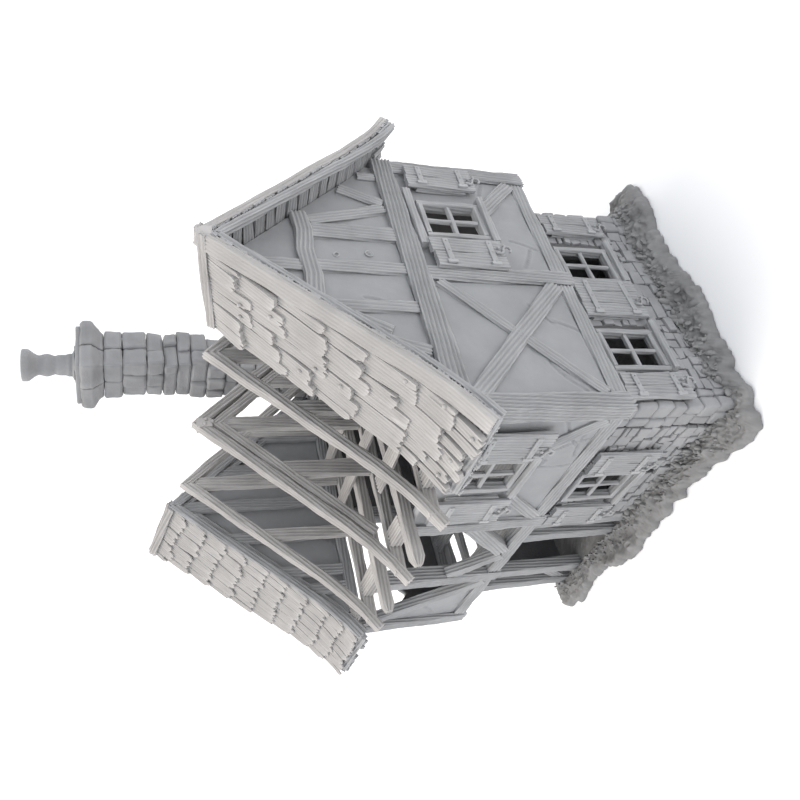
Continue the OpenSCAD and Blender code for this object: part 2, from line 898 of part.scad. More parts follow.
earth_base();
rubble_bank();
front_stone_wall();
gable_stone_wall();
back_stone_wall();
left_stone_wall();
quoin_piers();
ground_corner_post();
door_posts();
knee_brace();
ground_front_window();
ground_gable_windows();
ground_back_window();
ground_shutters();
chimney_base();
floor_joists();
floor_boards();
floor_lugs();
long_sills();
gable_sills();
corner_posts();
front_posts();
gable_posts();
back_posts();
front_panel();
bay_panel();
gable_panels();
back_panels();
left_panels();
gable_braces();
front_low_braces();
bay_braces();
upper_front_window();
upper_gable_window();
upper_back_window();
upper_shutters();
chimney_middle();
front_plate();
back_plate();
gable_tie_beams();
roof_lugs();
attic_joists();
attic_boards();
truss_right();
truss_middle();
truss_left();
gable_studs();
gable_infill();
left_gable_studs();
left_gable_infill();
right_rafters();
left_rafters();
right_roof_boards();
left_roof_boards();
right_shingles();
left_shingles();
ridge_caps();
chimney_stack();
chimney_cap();
chimney_pot();
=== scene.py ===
import math
import random

import bmesh
import bpy
from mathutils import Matrix, Vector, noise


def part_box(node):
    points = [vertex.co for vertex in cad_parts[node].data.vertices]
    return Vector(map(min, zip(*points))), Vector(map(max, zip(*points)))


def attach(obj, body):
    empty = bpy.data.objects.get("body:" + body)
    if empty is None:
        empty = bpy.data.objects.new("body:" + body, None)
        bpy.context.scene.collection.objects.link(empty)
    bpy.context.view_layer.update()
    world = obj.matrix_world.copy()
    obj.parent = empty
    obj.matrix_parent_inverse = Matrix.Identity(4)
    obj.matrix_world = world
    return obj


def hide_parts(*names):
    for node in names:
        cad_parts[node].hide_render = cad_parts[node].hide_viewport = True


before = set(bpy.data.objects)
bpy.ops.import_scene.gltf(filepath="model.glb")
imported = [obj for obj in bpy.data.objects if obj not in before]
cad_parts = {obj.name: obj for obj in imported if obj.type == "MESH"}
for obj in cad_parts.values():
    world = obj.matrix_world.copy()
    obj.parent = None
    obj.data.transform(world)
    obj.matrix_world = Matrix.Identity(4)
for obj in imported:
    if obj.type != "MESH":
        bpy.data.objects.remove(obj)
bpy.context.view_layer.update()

# ---- Table top, light and camera ----
# The printed house stands on a white table top under a large soft lamp, in a white room. The
# camera looks down on its front corner from the right, held a quarter turn over on its side.
scene = bpy.context.scene
scene.view_settings.view_transform = "Standard"

table_top = bpy.data.meshes.new("table_top")
reach = 4.0
table_corners = [(-reach, -reach, 0), (reach, -reach, 0), (reach, reach, 0), (-reach, reach, 0)]
table_top.from_pydata(table_corners, [], [(0, 1, 2, 3)])
table = bpy.data.objects.new("table_top", table_top)
scene.collection.objects.link(table)
white_card = bpy.data.materials.new("white_card")
white_card.use_nodes = True
card = white_card.node_tree.nodes["Principled BSDF"]
card.inputs["Base Color"].default_value = (0.97, 0.98, 1.0, 1)
card.inputs["Roughness"].default_value = 1.0
card.inputs["Specular IOR Level"].default_value = 0
table_top.materials.append(white_card)

room = bpy.data.worlds.new("white_room")
scene.world = room
room.use_nodes = True
walls = room.node_tree.nodes["Background"]
walls.inputs["Color"].default_value = (0.962, 0.98, 1.0, 1)
walls.inputs["Strength"].default_value = 1.2


def soft_lamp(name, place, strength, spread, colour):
    """A wide soft lamp far off, shining from place towards the house."""
    light = bpy.data.lights.new(name, "SUN")
    light.energy = strength
    light.angle = math.radians(spread)
    light.color = colour
    lamp = bpy.data.objects.new(name, light)
    lamp.location = place
    lamp.rotation_euler = (-Vector(place)).to_track_quat("-Z", "Y").to_euler()
    scene.collection.objects.link(lamp)


soft_lamp("ceiling_lamp", (-0.35, -0.15, 1.1), 2.0, 50, (1.0, 0.90, 0.79))

yaw, pitch, roll = [math.radians(angle) for angle in (52.38, 20.66, -0.99)]
camera_place = (0.21873, -0.15954, 0.19315)
forward = Vector((-math.sin(yaw) * math.cos(pitch), math.cos(yaw) * math.cos(pitch), -math.sin(pitch)))
level = Vector((math.cos(yaw), math.sin(yaw), 0))
plumb = level.cross(forward)
rightward = level * math.cos(roll) + plumb * math.sin(roll)
upward = plumb * math.cos(roll) - level * math.sin(roll)
lens = bpy.data.cameras.new("camera")
lens.lens = 33.86
lens.clip_start = 0.01
camera = bpy.data.objects.new("camera", lens)
axes = Matrix((-upward, rightward, -forward)).transposed().to_4x4()
camera.matrix_world = Matrix.Translation(camera_place) @ axes
scene.collection.objects.link(camera)
scene.camera = camera

# ---- Earth base ----
# The ground under the house: one slab of printed earth with a lumpy rounded rim. It rises in a
# bank against the walls, lower at the doorway, and lies almost level inside the house.
MM = 0.001
sharp_edge = math.radians(58)


def box_mm(*nodes):
    """Lowest and highest corner of some frame nodes together, in millimetres."""
    lows, highs = zip(*(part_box(n) for n in nodes))
    low = Vector([min(v[i] for v in lows) for i in range(3)]) / MM
    high = Vector([max(v[i] for v in highs) for i in range(3)]) / MM
    return low, high


def bump(nodes, links, height, strength, distance, under=None):
    """A layer of relief on a material, over the layer under it."""
    layer = nodes.new("ShaderNodeBump")
    layer.inputs["Strength"].default_value = strength
    layer.inputs["Distance"].default_value = distance
    links.new(height, layer.inputs["Height"])
    if under:
        links.new(under, layer.inputs["Normal"])
    return layer.outputs["Normal"]


def printed_plastic(name, shade, mottle=0.12, speck=900, speck_depth=0.4, line_depth=0.25, fibres=False):
    """Matte grey print plastic: faint mottling, paler worn edges with painted shade in its hollows, fine grit
    and level print lines.

    With fibres, fine scratches run along the grain map of a timber."""
    material = bpy.data.materials.new(name)
    material.use_nodes = True
    nodes, links = material.node_tree.nodes, material.node_tree.links
    shader = nodes["Principled BSDF"]
    shader.inputs["Roughness"].default_value = 0.68
    shader.inputs["Specular IOR Level"].default_value = 0.35
    where = nodes.new("ShaderNodeTexCoord")

    cloud = nodes.new("ShaderNodeTexNoise")
    cloud.inputs["Scale"].default_value = 90
    cloud.inputs["Detail"].default_value = 5
    tone = nodes.new("ShaderNodeValToRGB")
    dark, pale = tone.color_ramp.elements
    dark.position, pale.position = 0.3, 0.7
    dark.color = (*[c * (1 - mottle) for c in shade], 1)
    pale.color = (*[c * (1 + mottle) for c in shade], 1)
    links.new(where.outputs["Object"], cloud.inputs["Vector"])
    links.new(cloud.outputs["Fac"], tone.inputs["Fac"])

    # Pointiness scales the colour: convex edges come out paler as wear, and concave hollows come out darker
    # as painted shade.
    corner = nodes.new("ShaderNodeNewGeometry")
    wear_and_hollow_shade = nodes.new("ShaderNodeMapRange")
    wear_and_hollow_shade.inputs["From Min"].default_value = 0.44
    wear_and_hollow_shade.inputs["From Max"].default_value = 0.60
    wear_and_hollow_shade.inputs["To Min"].default_value = 0.80
    wear_and_hollow_shade.inputs["To Max"].default_value = 1.22
    rubbed_and_shaded = nodes.new("ShaderNodeVectorMath")
    rubbed_and_shaded.operation = "SCALE"
    links.new(corner.outputs["Pointiness"], wear_and_hollow_shade.inputs["Value"])
    links.new(tone.outputs["Color"], rubbed_and_shaded.inputs[0])
    links.new(wear_and_hollow_shade.outputs["Result"], rubbed_and_shaded.inputs["Scale"])
    links.new(rubbed_and_shaded.outputs["Vector"], shader.inputs["Base Color"])

    grit = nodes.new("ShaderNodeTexNoise")
    grit.inputs["Scale"].default_value = speck
    grit.inputs["Detail"].default_value = 4
    lines = nodes.new("ShaderNodeTexWave")
    lines.bands_direction = "Z"
    lines.inputs["Scale"].default_value = 1050
    lines.inputs["Distortion"].default_value = 0.3
    links.new(where.outputs["Object"], grit.inputs["Vector"])
    links.new(where.outputs["Object"], lines.inputs["Vector"])
    relief = bump(nodes, links, lines.outputs["Fac"], line_depth, 0.00006)
    relief = bump(nodes, links, grit.outputs["Fac"], speck_depth, 0.00025, relief)
    if fibres:
        lay = nodes.new("ShaderNodeUVMap")
        lay.uv_map = "grain"
        stretch = nodes.new("ShaderNodeVectorMath")
        stretch.operation = "MULTIPLY"
        stretch.inputs[1].default_value = (2.0, 9.0, 1.0)
        scratch = nodes.new("ShaderNodeTexNoise")
        scratch.inputs["Scale"].default_value = 1.0
        scratch.inputs["Detail"].default_value = 2
        links.new(lay.outputs["UV"], stretch.inputs[0])
        links.new(stretch.outputs["Vector"], scratch.inputs["Vector"])
        relief = bump(nodes, links, scratch.outputs["Fac"], 0.5, 0.0004, relief)
    links.new(relief, shader.inputs["Normal"])
    return material


def new_cage():
    """An empty cage in millimetres, with a map that lays grain along its timbers."""
    cage = bmesh.new()
    cage.loops.layers.uv.new("grain")
    return cage


def finish_piece(name, cage, body, materials, nodes, stack):
    """Turns a cage in millimetres into a smooth piece on a body, with its stack of modifiers."""
    bmesh.ops.scale(cage, vec=(MM, MM, MM), verts=cage.verts)
    mesh = bpy.data.meshes.new(name)
    cage.to_mesh(mesh)
    cage.free()
    for material in materials:
        mesh.materials.append(material)
    mesh.shade_smooth()
    piece = bpy.data.objects.new(name, mesh)
    scene.collection.objects.link(piece)
    for kind, settings in stack:
        modifier = piece.modifiers.new(kind.lower(), kind)
        for key, value in settings.items():
            setattr(modifier, key, value)
    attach(piece, body)
    if nodes:
        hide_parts(*nodes)
    return piece


def make_piece(name, cage, body, material, nodes=(), stack=()):
    """A piece of closed solids, whose sharp edges stay sharp."""
    bmesh.ops.recalc_face_normals(cage, faces=cage.faces)
    piece = finish_piece(name, cage, body, [material], nodes, stack)
    piece.data.set_sharp_from_angle(angle=sharp_edge)


def outside(x, y, rects):
    """How far a point lies outside the nearest of some rectangles, or 0 inside one."""
    return min(math.hypot(max(x0 - x, 0, x - x1), max(y0 - y, 0, y - y1)) for x0, y0, x1, y1 in rects)


stone_lo, stone_hi = box_mm("front_stone_wall", "gable_stone_wall", "back_stone_wall", "left_stone_wall")
foot_lo, foot_hi = box_mm("chimney_base")
door_hi = box_mm("door_posts")[1]
house_plan = [
    (stone_lo.x, stone_lo.y, stone_hi.x, stone_hi.y),
    (foot_lo.x, foot_lo.y, foot_hi.x, foot_hi.y),
]
earth_top = box_mm("earth_base")[1].z
bank_rise, bank_reach = 3.8, 9


def ground_height(x, y):
    """Height of the earth: almost level in the house, banked against its walls, lumpy outside."""
    away = outside(x, y, house_plan)
    lumps = noise.noise((x / 6, y / 6, 3)) * 2.4 + abs(noise.noise((x / 2.4, y / 2.4, 8))) * 2.2
    lumps += noise.noise((x / 0.9, y / 0.9, 6)) * 0.6
    if away == 0:
        return earth_top + 0.3 + lumps * 0.3
    bank = bank_rise * max(0, 1 - away / bank_reach) ** 1.3
    from_corner = math.hypot(x - stone_hi.x, y - stone_lo.y)
    bank *= min(1, 0.1 + from_corner / 16)
    at_doorway = x < door_hi.x and y < stone_lo.y + 2
    if at_doorway:
        bank *= 0.25
    ragged = abs(noise.noise((x / 1.3, y / 1.3, 5))) * 3.4 * max(0, 1 - away / 11)
    return earth_top + 0.1 + bank + lumps * 0.9 + ragged


earth_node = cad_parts["earth_base"].data
rim_centre = Vector((-15, 0))
corners = {(round(v.co.x / MM, 1), round(v.co.y / MM, 1)) for v in earth_node.vertices if v.co.z < MM}
outline = sorted(corners, key=lambda c: math.atan2(c[1] - rim_centre.y, c[0] - rim_centre.x))
rim_step, rim_smoothings = 0.85, 6
rim_round, foot_heights = 2.6, (0, 0.6, 1.3)
rim = []
for start, end in zip(outline, outline[1:] + outline[:1]):
    start, end = Vector(start), Vector(end)
    for i in range(max(1, round((end - start).length / rim_step))):
        rim.append(start.lerp(end, i * rim_step / max((end - start).length, rim_step)))
for _ in range(rim_smoothings):
    rim = [(rim[i - 1] + rim[i] * 2 + rim[(i + 1) % len(rim)]) / 4 for i in range(len(rim))]

insets = [0.7, 0.2, 0, 0.5, 1.1] + [1.8 + 0.75 * i for i in range(24)] + [20.5, 22, 24, 27, 31, 36, 42]
cage = new_cage()
rings = []
for k, inset in enumerate(insets):
    ring = []
    for point in rim:
        inward = (rim_centre - point).normalized()
        bulge = noise.noise((point.x / 8, point.y / 8, 1)) * 2.8
        bulge += noise.noise((point.x / 3, point.y / 3, 2)) * 1.5
        bulge += abs(noise.noise((point.x / 1.5, point.y / 1.5, 4))) * 0.9
        spot = point + inward * (inset - bulge * max(0, 1 - inset / 9) + 0.8)
        full = ground_height(spot.x, spot.y)
        rise = math.sqrt(1 - (1 - min(1, inset / rim_round)) ** 2)
        z = foot_heights[k] if k < 3 else foot_heights[-1] + (full - foot_heights[-1]) * rise
        ring.append(cage.verts.new((spot.x, spot.y, z)))
    rings.append(ring)
for low, high in zip(rings, rings[1:]):
    for i in range(len(rim)):
        j = (i + 1) % len(rim)
        cage.faces.new((low[i], low[j], high[j], high[i]))
cage.faces.new(list(reversed(rings[0])))
cage.faces.new(rings[-1])
earth = printed_plastic("printed_earth", (0.215, 0.215, 0.217), mottle=0.16, speck=700, speck_depth=0.9)
make_piece("earth", cage, "ground_floor", earth, ["earth_base"])

# ---- Broken stone along the walls ----
# Loose worn chips of stone, heaped where the walls meet the earth and strewn down the bank. They
# lie thickest at the foot of the wall.
chips = random.Random(7)


def well_inside(x, y, margin):
    """Whether a point lies inside the rim of the earth by a margin."""
    spot = Vector((x, y)) - rim_centre
    nearest = min(rim, key=lambda p: (p - rim_centre).angle(spot))
    return spot.length < (nearest - rim_centre).length - margin


def chip(cage, spot, size, seed):
    """One chip of stone, standing or lying at a spot."""
    made = bmesh.ops.create_icosphere(cage, subdivisions=1, radius=1)["verts"]
    grow = Vector((seed.uniform(0.5, 1.0), seed.uniform(0.4, 0.8), seed.uniform(0.8, 2.0))) * size
    tilt = Vector((seed.uniform(-1, 1), seed.uniform(-1, 1), 0.1)).normalized()
    turn = Matrix.Rotation(seed.uniform(-0.9, 0.9), 3, tilt) @ Matrix.Rotation(seed.uniform(0, 6.28), 3, "Z")
    for v in made:
        v.co = turn @ (Vector([a * b for a, b in zip(v.co, grow)]) * seed.uniform(0.75, 1.2)) + spot


cage = new_cage()
wall_ring = [
    (stone_lo.x, stone_lo.y, stone_hi.x, stone_lo.y), (stone_hi.x, stone_lo.y, stone_hi.x, stone_hi.y),
    (stone_hi.x, stone_hi.y, stone_lo.x, stone_hi.y), (stone_lo.x, stone_hi.y, stone_lo.x, stone_lo.y),
]
for x0, y0, x1, y1 in wall_ring:
    length = math.hypot(x1 - x0, y1 - y0)
    out = Vector(((y1 - y0) / length, -(x1 - x0) / length))
    for i in range(round(length * 2.2)):
        t = chips.uniform(-0.06, 1.06)
        away = chips.random() ** 1.9 * 8 + 0.9
        x, y = x0 + (x1 - x0) * t + out.x * away, y0 + (y1 - y0) * t + out.y * away
        by_corner = math.hypot(x - stone_hi.x, y - stone_lo.y) < 9 and chips.random() < 0.75
        if by_corner or outside(x, y, house_plan) < 0.8 or not well_inside(x, y, 3.5):
            continue
        doorway = y < stone_lo.y and x < door_hi.x
        size = chips.choice((0.6, 0.8, 1.1, 1.7)) * (0.6 if doorway else 1) * max(0.4, 1.35 - away / 10)
        chip(cage, Vector((x, y, ground_height(x, y) + size * 0.15)), size, chips)
make_piece("broken_stone", cage, "ground_floor", earth, ["rubble_bank"],
           [("SUBSURF", {"levels": 1, "render_levels": 1})])

# ---- Stone walls ----
# Squared and half-squared stones of every size, laid dry in a jumble on the backing of the wall,
# with sunk joints. Their faces are hand dressed, so each leans a little its own way.
masons = random.Random(11)
# The backing is dark: its dark joints between the stones are real, and its inner faces seen through the open
# corner and doorway are painted shade.
dark_joints_and_inner_shade = printed_plastic("printed_mortar_and_inner_shade", (0.10, 0.10, 0.105), speck_depth=0.8)
stone = printed_plastic("printed_stone", (0.262, 0.265, 0.275), mottle=0.14, speck=1100, speck_depth=0.7)
for wall in ("front_stone_wall", "gable_stone_wall", "back_stone_wall", "left_stone_wall"):
    for material_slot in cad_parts[wall].material_slots:
        material_slot.material = dark_joints_and_inner_shade


def around(rect, hole):
    """The parts of a rectangle (a0, b0, a1, b1) that lie round a rectangular hole."""
    a0, b0, a1, b1 = rect
    c0, d0, c1, d1 = max(a0, hole[0]), max(b0, hole[1]), min(a1, hole[2]), min(b1, hole[3])
    if c0 >= c1 or d0 >= d1:
        return [rect]
    parts = [(a0, b0, a1, d0), (a0, d1, a1, b1), (a0, d0, c0, d1), (c1, d0, a1, d1)]
    return [p for p in parts if p[2] - p[0] > 0.8 and p[3] - p[1] > 0.8]


def jumble(rect, seed, long=8.2, tall=5.4):
    """Splits a rectangle again and again into stones of mixed sizes."""
    a0, b0, a1, b1 = rect
    w, h = a1 - a0, b1 - b0
    if w <= long * seed.uniform(0.6, 1.3) and h <= tall * seed.uniform(0.7, 1.4):
        return [rect]
    if w / long > h / tall:
        cut = a0 + w * seed.uniform(0.36, 0.64)
        return jumble((a0, b0, cut, b1), seed, long, tall) + jumble((cut, b0, a1, b1), seed, long, tall)
    cut = b0 + h * seed.uniform(0.36, 0.64)
    return jumble((a0, b0, a1, cut), seed, long, tall) + jumble((a0, cut, a1, b1), seed, long, tall)


def dressed_stone(cage, place, rect, proud, seed, joint=0.42):
    """One stone: a block with uneven corners whose face leans. place maps along, up, out."""
    a0, b0, a1, b1 = rect
    g = joint / 2
    slack = 0.34
    corners = [(a0 + g, b0 + g), (a1 - g, b0 + g), (a1 - g, b1 - g), (a0 + g, b1 - g)]
    corners = [(a + seed.uniform(-slack, slack), b + seed.uniform(-slack, slack)) for a, b in corners]
    out = proud * seed.uniform(0.35, 1.5)
    back = [cage.verts.new(place(a, b, -0.6)) for a, b in corners]
    face = [cage.verts.new(place(a, b, out + seed.uniform(-0.34, 0.34))) for a, b in corners]
    cage.faces.new(back)
    cage.faces.new(face)
    for i in range(4):
        j = (i + 1) % 4
        cage.faces.new((back[i], back[j], face[j], face[i]))


stone_edges = [
    ("BEVEL", {"width": 0.00045, "segments": 2, "limit_method": "ANGLE", "angle_limit": 0.6,
               "harden_normals": True}),
]


def opening_of(node, along):
    """The rectangle round a frame node's windows, seen along a wall."""
    low, high = box_mm(node)
    return (low[along], low.z, high[along], high.z)


course_bottom = earth_top + 0.5
pier_lo, pier_hi = box_mm("quoin_piers")
front_window = opening_of("ground_front_window", 0)
back_window = opening_of("ground_back_window", 0)
gable_lo, gable_hi = box_mm("ground_gable_windows")
near_window_w, far_window_w = 20.5, 21.5
gable_windows = [(gable_lo.y, gable_lo.z, gable_lo.y + near_window_w, gable_hi.z),
                 (gable_hi.y - far_window_w, gable_lo.z, gable_hi.y, gable_hi.z)]
missing_stone = (26.3, 12.8, 29.7, 17.2)
front_lo, front_hi = box_mm("front_stone_wall")
gable_wall_lo, gable_wall_hi = box_mm("gable_stone_wall")
back_lo, back_hi = box_mm("back_stone_wall")
left_lo, left_hi = box_mm("left_stone_wall")
breach = [(-34, 46.5, -6, 60), (-30.5, 40.8, -13.5, 60)]
walls_to_face = [
    ("front_wall_stones", (front_lo.x, course_bottom, front_hi.x, front_hi.z), [front_window, missing_stone],
     lambda a, b, o: (a, front_lo.y - o, b)),
    ("gable_wall_stones", (gable_wall_lo.y, course_bottom, gable_wall_hi.y, gable_wall_hi.z), gable_windows,
     lambda a, b, o: (gable_wall_hi.x + o, a, b)),
    ("back_wall_stones", (back_lo.x, course_bottom, back_hi.x, back_hi.z),
     [back_window, (foot_lo.x, 0, foot_hi.x, 60)], lambda a, b, o: (a, back_hi.y + o, b)),
    ("left_wall_stones", (left_lo.y, course_bottom, left_hi.y, left_hi.z), breach,
     lambda a, b, o: (left_lo.x - o, a, b)),
]
for name, area, holes, place in walls_to_face:
    rects = [area]
    for hole in holes:
        rects = [part for rect in rects for part in around(rect, hole)]
    cage = new_cage()
    for rect in rects:
        for stone_rect in jumble(rect, masons):
            dressed_stone(cage, place, stone_rect, 0.75, masons)
    make_piece(name, cage, "ground_floor", stone, stack=stone_edges)

# ---- Quoins ----
# The corner piers: rough squared blocks, four to a course, round a plain core. Every block is worn
# at its edges and set a little out of line.
quoins = random.Random(23)


def rough_block(cage, low, high, seed, slack=0.25):
    """A squared block whose eight corners are each a little out of place."""
    plan = [(low[0], low[1]), (high[0], low[1]), (high[0], high[1]), (low[0], high[1])]
    verts = [
        cage.verts.new((x + seed.uniform(-slack, slack), y + seed.uniform(-slack, slack),
                        z + seed.uniform(-slack, slack) * 0.4))
        for z in (low[2], high[2]) for x, y in plan
    ]
    for face in ((0, 1, 2, 3), (4, 5, 6, 7), (0, 1, 5, 4), (1, 2, 6, 5), (2, 3, 7, 6), (3, 0, 4, 7)):
        cage.faces.new([verts[i] for i in face])


def uneven_halves(start, middle, end, seed):
    """Two stretches that meet near the middle, their far ends a little out of line."""
    return (start - seed.uniform(-0.5, 0.5), middle), (middle + 0.2, end + seed.uniform(-0.5, 0.5))


def pier_blocks(cage, x0, x1, y0, y1, seed):
    """Courses of a pier between plan limits: four rough blocks to a course."""
    z = course_bottom - 1
    while z < pier_hi.z - 1:
        top = min(pier_hi.z, z + seed.uniform(4.6, 7.6))
        top = pier_hi.z if pier_hi.z - top < 3 else top
        mid_x = x0 + (x1 - x0) * seed.uniform(0.36, 0.64)
        mid_y = y0 + (y1 - y0) * seed.uniform(0.36, 0.64)
        for ax, bx in uneven_halves(x0, mid_x, x1, seed):
            for ay, by in uneven_halves(y0, mid_y, y1, seed):
                rough_block(cage, (ax, ay, z + 0.05), (bx, by, top - 0.05), seed, slack=0.35)
        rough_block(cage, (x0 + 0.9, y0 + 0.9, z), (x1 - 0.9, y1 - 0.9, top), seed, 0)
        z = top


cage = new_cage()
pier_blocks(cage, pier_hi.x - 11, pier_hi.x - 0.7, pier_lo.y + 0.8, pier_lo.y + 8.3, quoins)
pier_blocks(cage, pier_hi.x - 10.4, pier_hi.x - 0.4, pier_hi.y - 9.4, pier_hi.y - 0.4, quoins)
pier_blocks(cage, pier_lo.x + 0.4, pier_lo.x + 10.4, pier_hi.y - 9.4, pier_hi.y - 0.4, quoins)
block_edges = [
    ("BEVEL", {"width": 0.0011, "segments": 3, "limit_method": "ANGLE", "angle_limit": 0.6}),
]
make_piece("quoin_stones", cage, "ground_floor", stone, ["quoin_piers"], block_edges)

# ---- Ground floor posts ----
# Squared posts and a short knee brace at the open corner and the doorway. All timber of the house
# is carved with deep grain along its length.
timber = printed_plastic("printed_timber", (0.305, 0.31, 0.32), mottle=0.10, speck=1500, speck_depth=0.35,
                         fibres=True)
grain = bpy.data.textures.new("grain", "WOOD")
grain.wood_type = "BANDNOISE"
grain.noise_basis_2 = "TRI"
grain.noise_scale = 1.0
grain.turbulence = 2.2
strip = 0.5
station = 6.0
arris = 0.35
carpenters = random.Random(31)


def carving(depth, mid_level):
    """A stack that cuts grain of a depth into a piece along its grain map."""
    return [
        ("SUBSURF", {"subdivision_type": "SIMPLE", "levels": 1, "render_levels": 1}),
        ("DISPLACE", {"texture": grain, "texture_coords": "UV", "uv_layer": "grain", "strength": depth,
                      "mid_level": mid_level}),
    ]


carved = carving(0.0006, 0.65)


def along_path(path, step):
    """A path with points added so that no two lie much further apart than a step."""
    path = [Vector(p) for p in path]
    points = [path[0]]
    for start, end in zip(path, path[1:]):
        n = max(1, round((end - start).length / step))
        points += [start.lerp(end, (i + 1) / n) for i in range(n)]
    return points


def beam(cage, path, wide, tall, up=(0, 0, 1), seed=carpenters, wobble=0.08, fine=strip, mitre=False,
         tips=1.0):
    """A squared timber along a path: wide across it, tall towards up, grain along it.

    Each station wobbles off the path. Fine is the width of the strips its sides are cut in. A
    mitred timber starts with a cut in the plane of the ridge, y = 0. Tips shrinks both ends."""
    points = along_path(path, station)
    up = Vector(up)
    cut = min(arris, wide / 4, tall / 4)
    section = []
    for quarter in range(4):
        size, off = ((wide, tall), (tall, wide), (wide, tall), (tall, wide))[quarter]
        parts = max(1, round((size - 2 * cut) / fine))
        for i in range(parts + 1):
            a, b = -size / 2 + cut + (size - 2 * cut) * i / parts, -off / 2
            section.append(((a, b), (-b, a), (-a, -b), (b, -a))[quarter])
    n = len(section)
    girths = [0.0]
    for i in range(n):
        (a, b), (c, d) = section[i], section[(i + 1) % n]
        girths.append(girths[-1] + math.hypot(c - a, d - b))
    shift, slide = seed.uniform(0, 50), seed.uniform(0, 50)
    rings, runs, run = [], [], 0.0
    for k, point in enumerate(points):
        ahead = (points[min(k + 1, len(points) - 1)] - points[max(k - 1, 0)]).normalized()
        side = ahead.cross(up).normalized()
        top = side.cross(ahead)
        run += (point - points[k - 1]).length if k else 0
        sway = Vector((seed.uniform(-wobble, wobble), seed.uniform(-wobble, wobble)))
        at_tip = k in (0, len(points) - 1)
        if at_tip:
            sway = Vector((0, 0))
        full = tips if at_tip else 1
        ring = [point + side * (a * full + sway.x) + top * (b * full + sway.y) for a, b in section]
        if mitre and k == 0:
            ring = [spot - ahead * (spot.y / ahead.y) for spot in ring]
        rings.append([cage.verts.new(spot) for spot in ring])
        runs.append(run)
    grain_map = cage.loops.layers.uv["grain"]

    def lay(face, places):
        for loop, (length, girth) in zip(face.loops, places):
            loop[grain_map].uv = (length * 0.014 + slide, girth * 0.24 + shift)

    for k in range(len(rings) - 1):
        for i in range(n):
            j = (i + 1) % n
            face = cage.faces.new((rings[k][i], rings[k][j], rings[k + 1][j], rings[k + 1][i]))
            lay(face, [(runs[k], girths[i]), (runs[k], girths[i + 1]),
                       (runs[k + 1], girths[i + 1]), (runs[k + 1], girths[i])])
    for k in (0, -1):
        face = cage.faces.new(rings[k])
        lay(face, [(runs[k], g) for g in girths[:n]])


def timber_box(cage, low, high, axis):
    """A straight timber that fills a box, running along one axis of it."""
    middle = (Vector(low) + Vector(high)) / 2
    size = Vector(high) - Vector(low)
    start, end = middle.copy(), middle.copy()
    start[axis], end[axis] = low[axis], high[axis]
    if axis == 2:
        beam(cage, [start, end], size.x, size.y, up=(0, 1, 0))
    else:
        beam(cage, [start, end], size.y if axis == 0 else size.x, size.z)


def solids_of(node):
    """Boxes of a frame node's separate solids, in millimetres, from its triangles."""
    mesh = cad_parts[node].data
    home = {}

    def find(i):
        while home.setdefault(i, i) != i:
            home[i] = home[home[i]]
            i = home[i]
        return i

    places = [tuple(round(c / MM, 2) for c in v.co) for v in mesh.vertices]
    for polygon in mesh.polygons:
        first = find(places[polygon.vertices[0]])
        for other in polygon.vertices[1:]:
            home[find(places[other])] = first
    groups = {}
    for place in set(places):
        groups.setdefault(find(place), []).append(place)
    boxes = [([min(c) for c in zip(*g)], [max(c) for c in zip(*g)]) for g in groups.values()]
    return [(Vector(low), Vector(high)) for low, high in sorted(boxes)]


def timbers(name, node, axis, body, material=timber, stack=carved):
    """Every straight timber of a frame node, carved."""
    cage = new_cage()
    for low, high in solids_of(node):
        timber_box(cage, low, high, axis)
    make_piece(name, cage, body, material, [node], stack)


timbers("open_corner_post", "ground_corner_post", 2, "ground_floor")
timbers("doorway_posts", "door_posts", 2, "ground_floor")
cage = new_cage()
lo, hi = box_mm("knee_brace")
middle_y = (lo.y + hi.y) / 2
beam(cage, [(lo.x - 0.5, middle_y, lo.z + 2.5), (hi.x + 0.5, middle_y, hi.z - 2.5)], 3, 4)
make_piece("corner_knee", cage, "ground_floor", timber, ["knee_brace"], carved)

# ---- Windows ----
# Wooden casements: a frame of four pieces, two glazing bars that cross, open panes, and a thick
# sill board. The gable's upper window has a head board as well.
joiners = random.Random(41)
glass_w, glass_h, bar = 14.0, 18.5, 1.4
frame_w = 1.9
out_by, in_by = 1.7, 1.5


def casement(cage, place, sill, head=False):
    """A window about its middle. place maps along, up, out."""

    def bar_piece(start, end, wide, deep, out, towards):
        a, b = place(*start, out), place(*end, out)
        up = Vector(place(start[0] + towards[0], start[1] + towards[1], out)) - Vector(a)
        beam(cage, [a, b], deep, wide, up=up, seed=joiners, wobble=0.05)

    w, h, m = glass_w / 2 + frame_w / 2, glass_h / 2 + frame_w / 2, (out_by - in_by) / 2
    deep = out_by + in_by
    for side in (-1, 1):
        bar_piece((side * w, -h - frame_w / 2), (side * w, h + frame_w / 2), frame_w, deep, m, (1, 0))
        bar_piece((-w + frame_w / 2, side * h), (w - frame_w / 2, side * h), frame_w, deep, m, (0, 1))
    bar_piece((0, -h + frame_w / 2), (0, h - frame_w / 2), bar, 1.6, 0.2, (1, 0))
    bar_piece((-w + frame_w / 2, 0), (w - frame_w / 2, 0), bar, 1.6, 0.2, (0, 1))
    low = -h - frame_w / 2 - 1.1
    bar_piece((sill[0], low), (sill[1], low), 2.2, 3.4, 1.5, (0, 1))
    if head:
        high = h + frame_w / 2 + 2.6
        bar_piece((-13.5, high), (13.5, high), 2.6, 2.8, 1.3, (0, 1))


sill_drop = glass_h / 2 + frame_w + 2.2


def window_middle(node, wide_axis, index=0, along_shift=0.0):
    """Middle of a window of a frame node along the wall and in height."""
    low, high = solids_of(node)[index]
    return (low[wide_axis] + high[wide_axis]) / 2 + along_shift, low.z + sill_drop


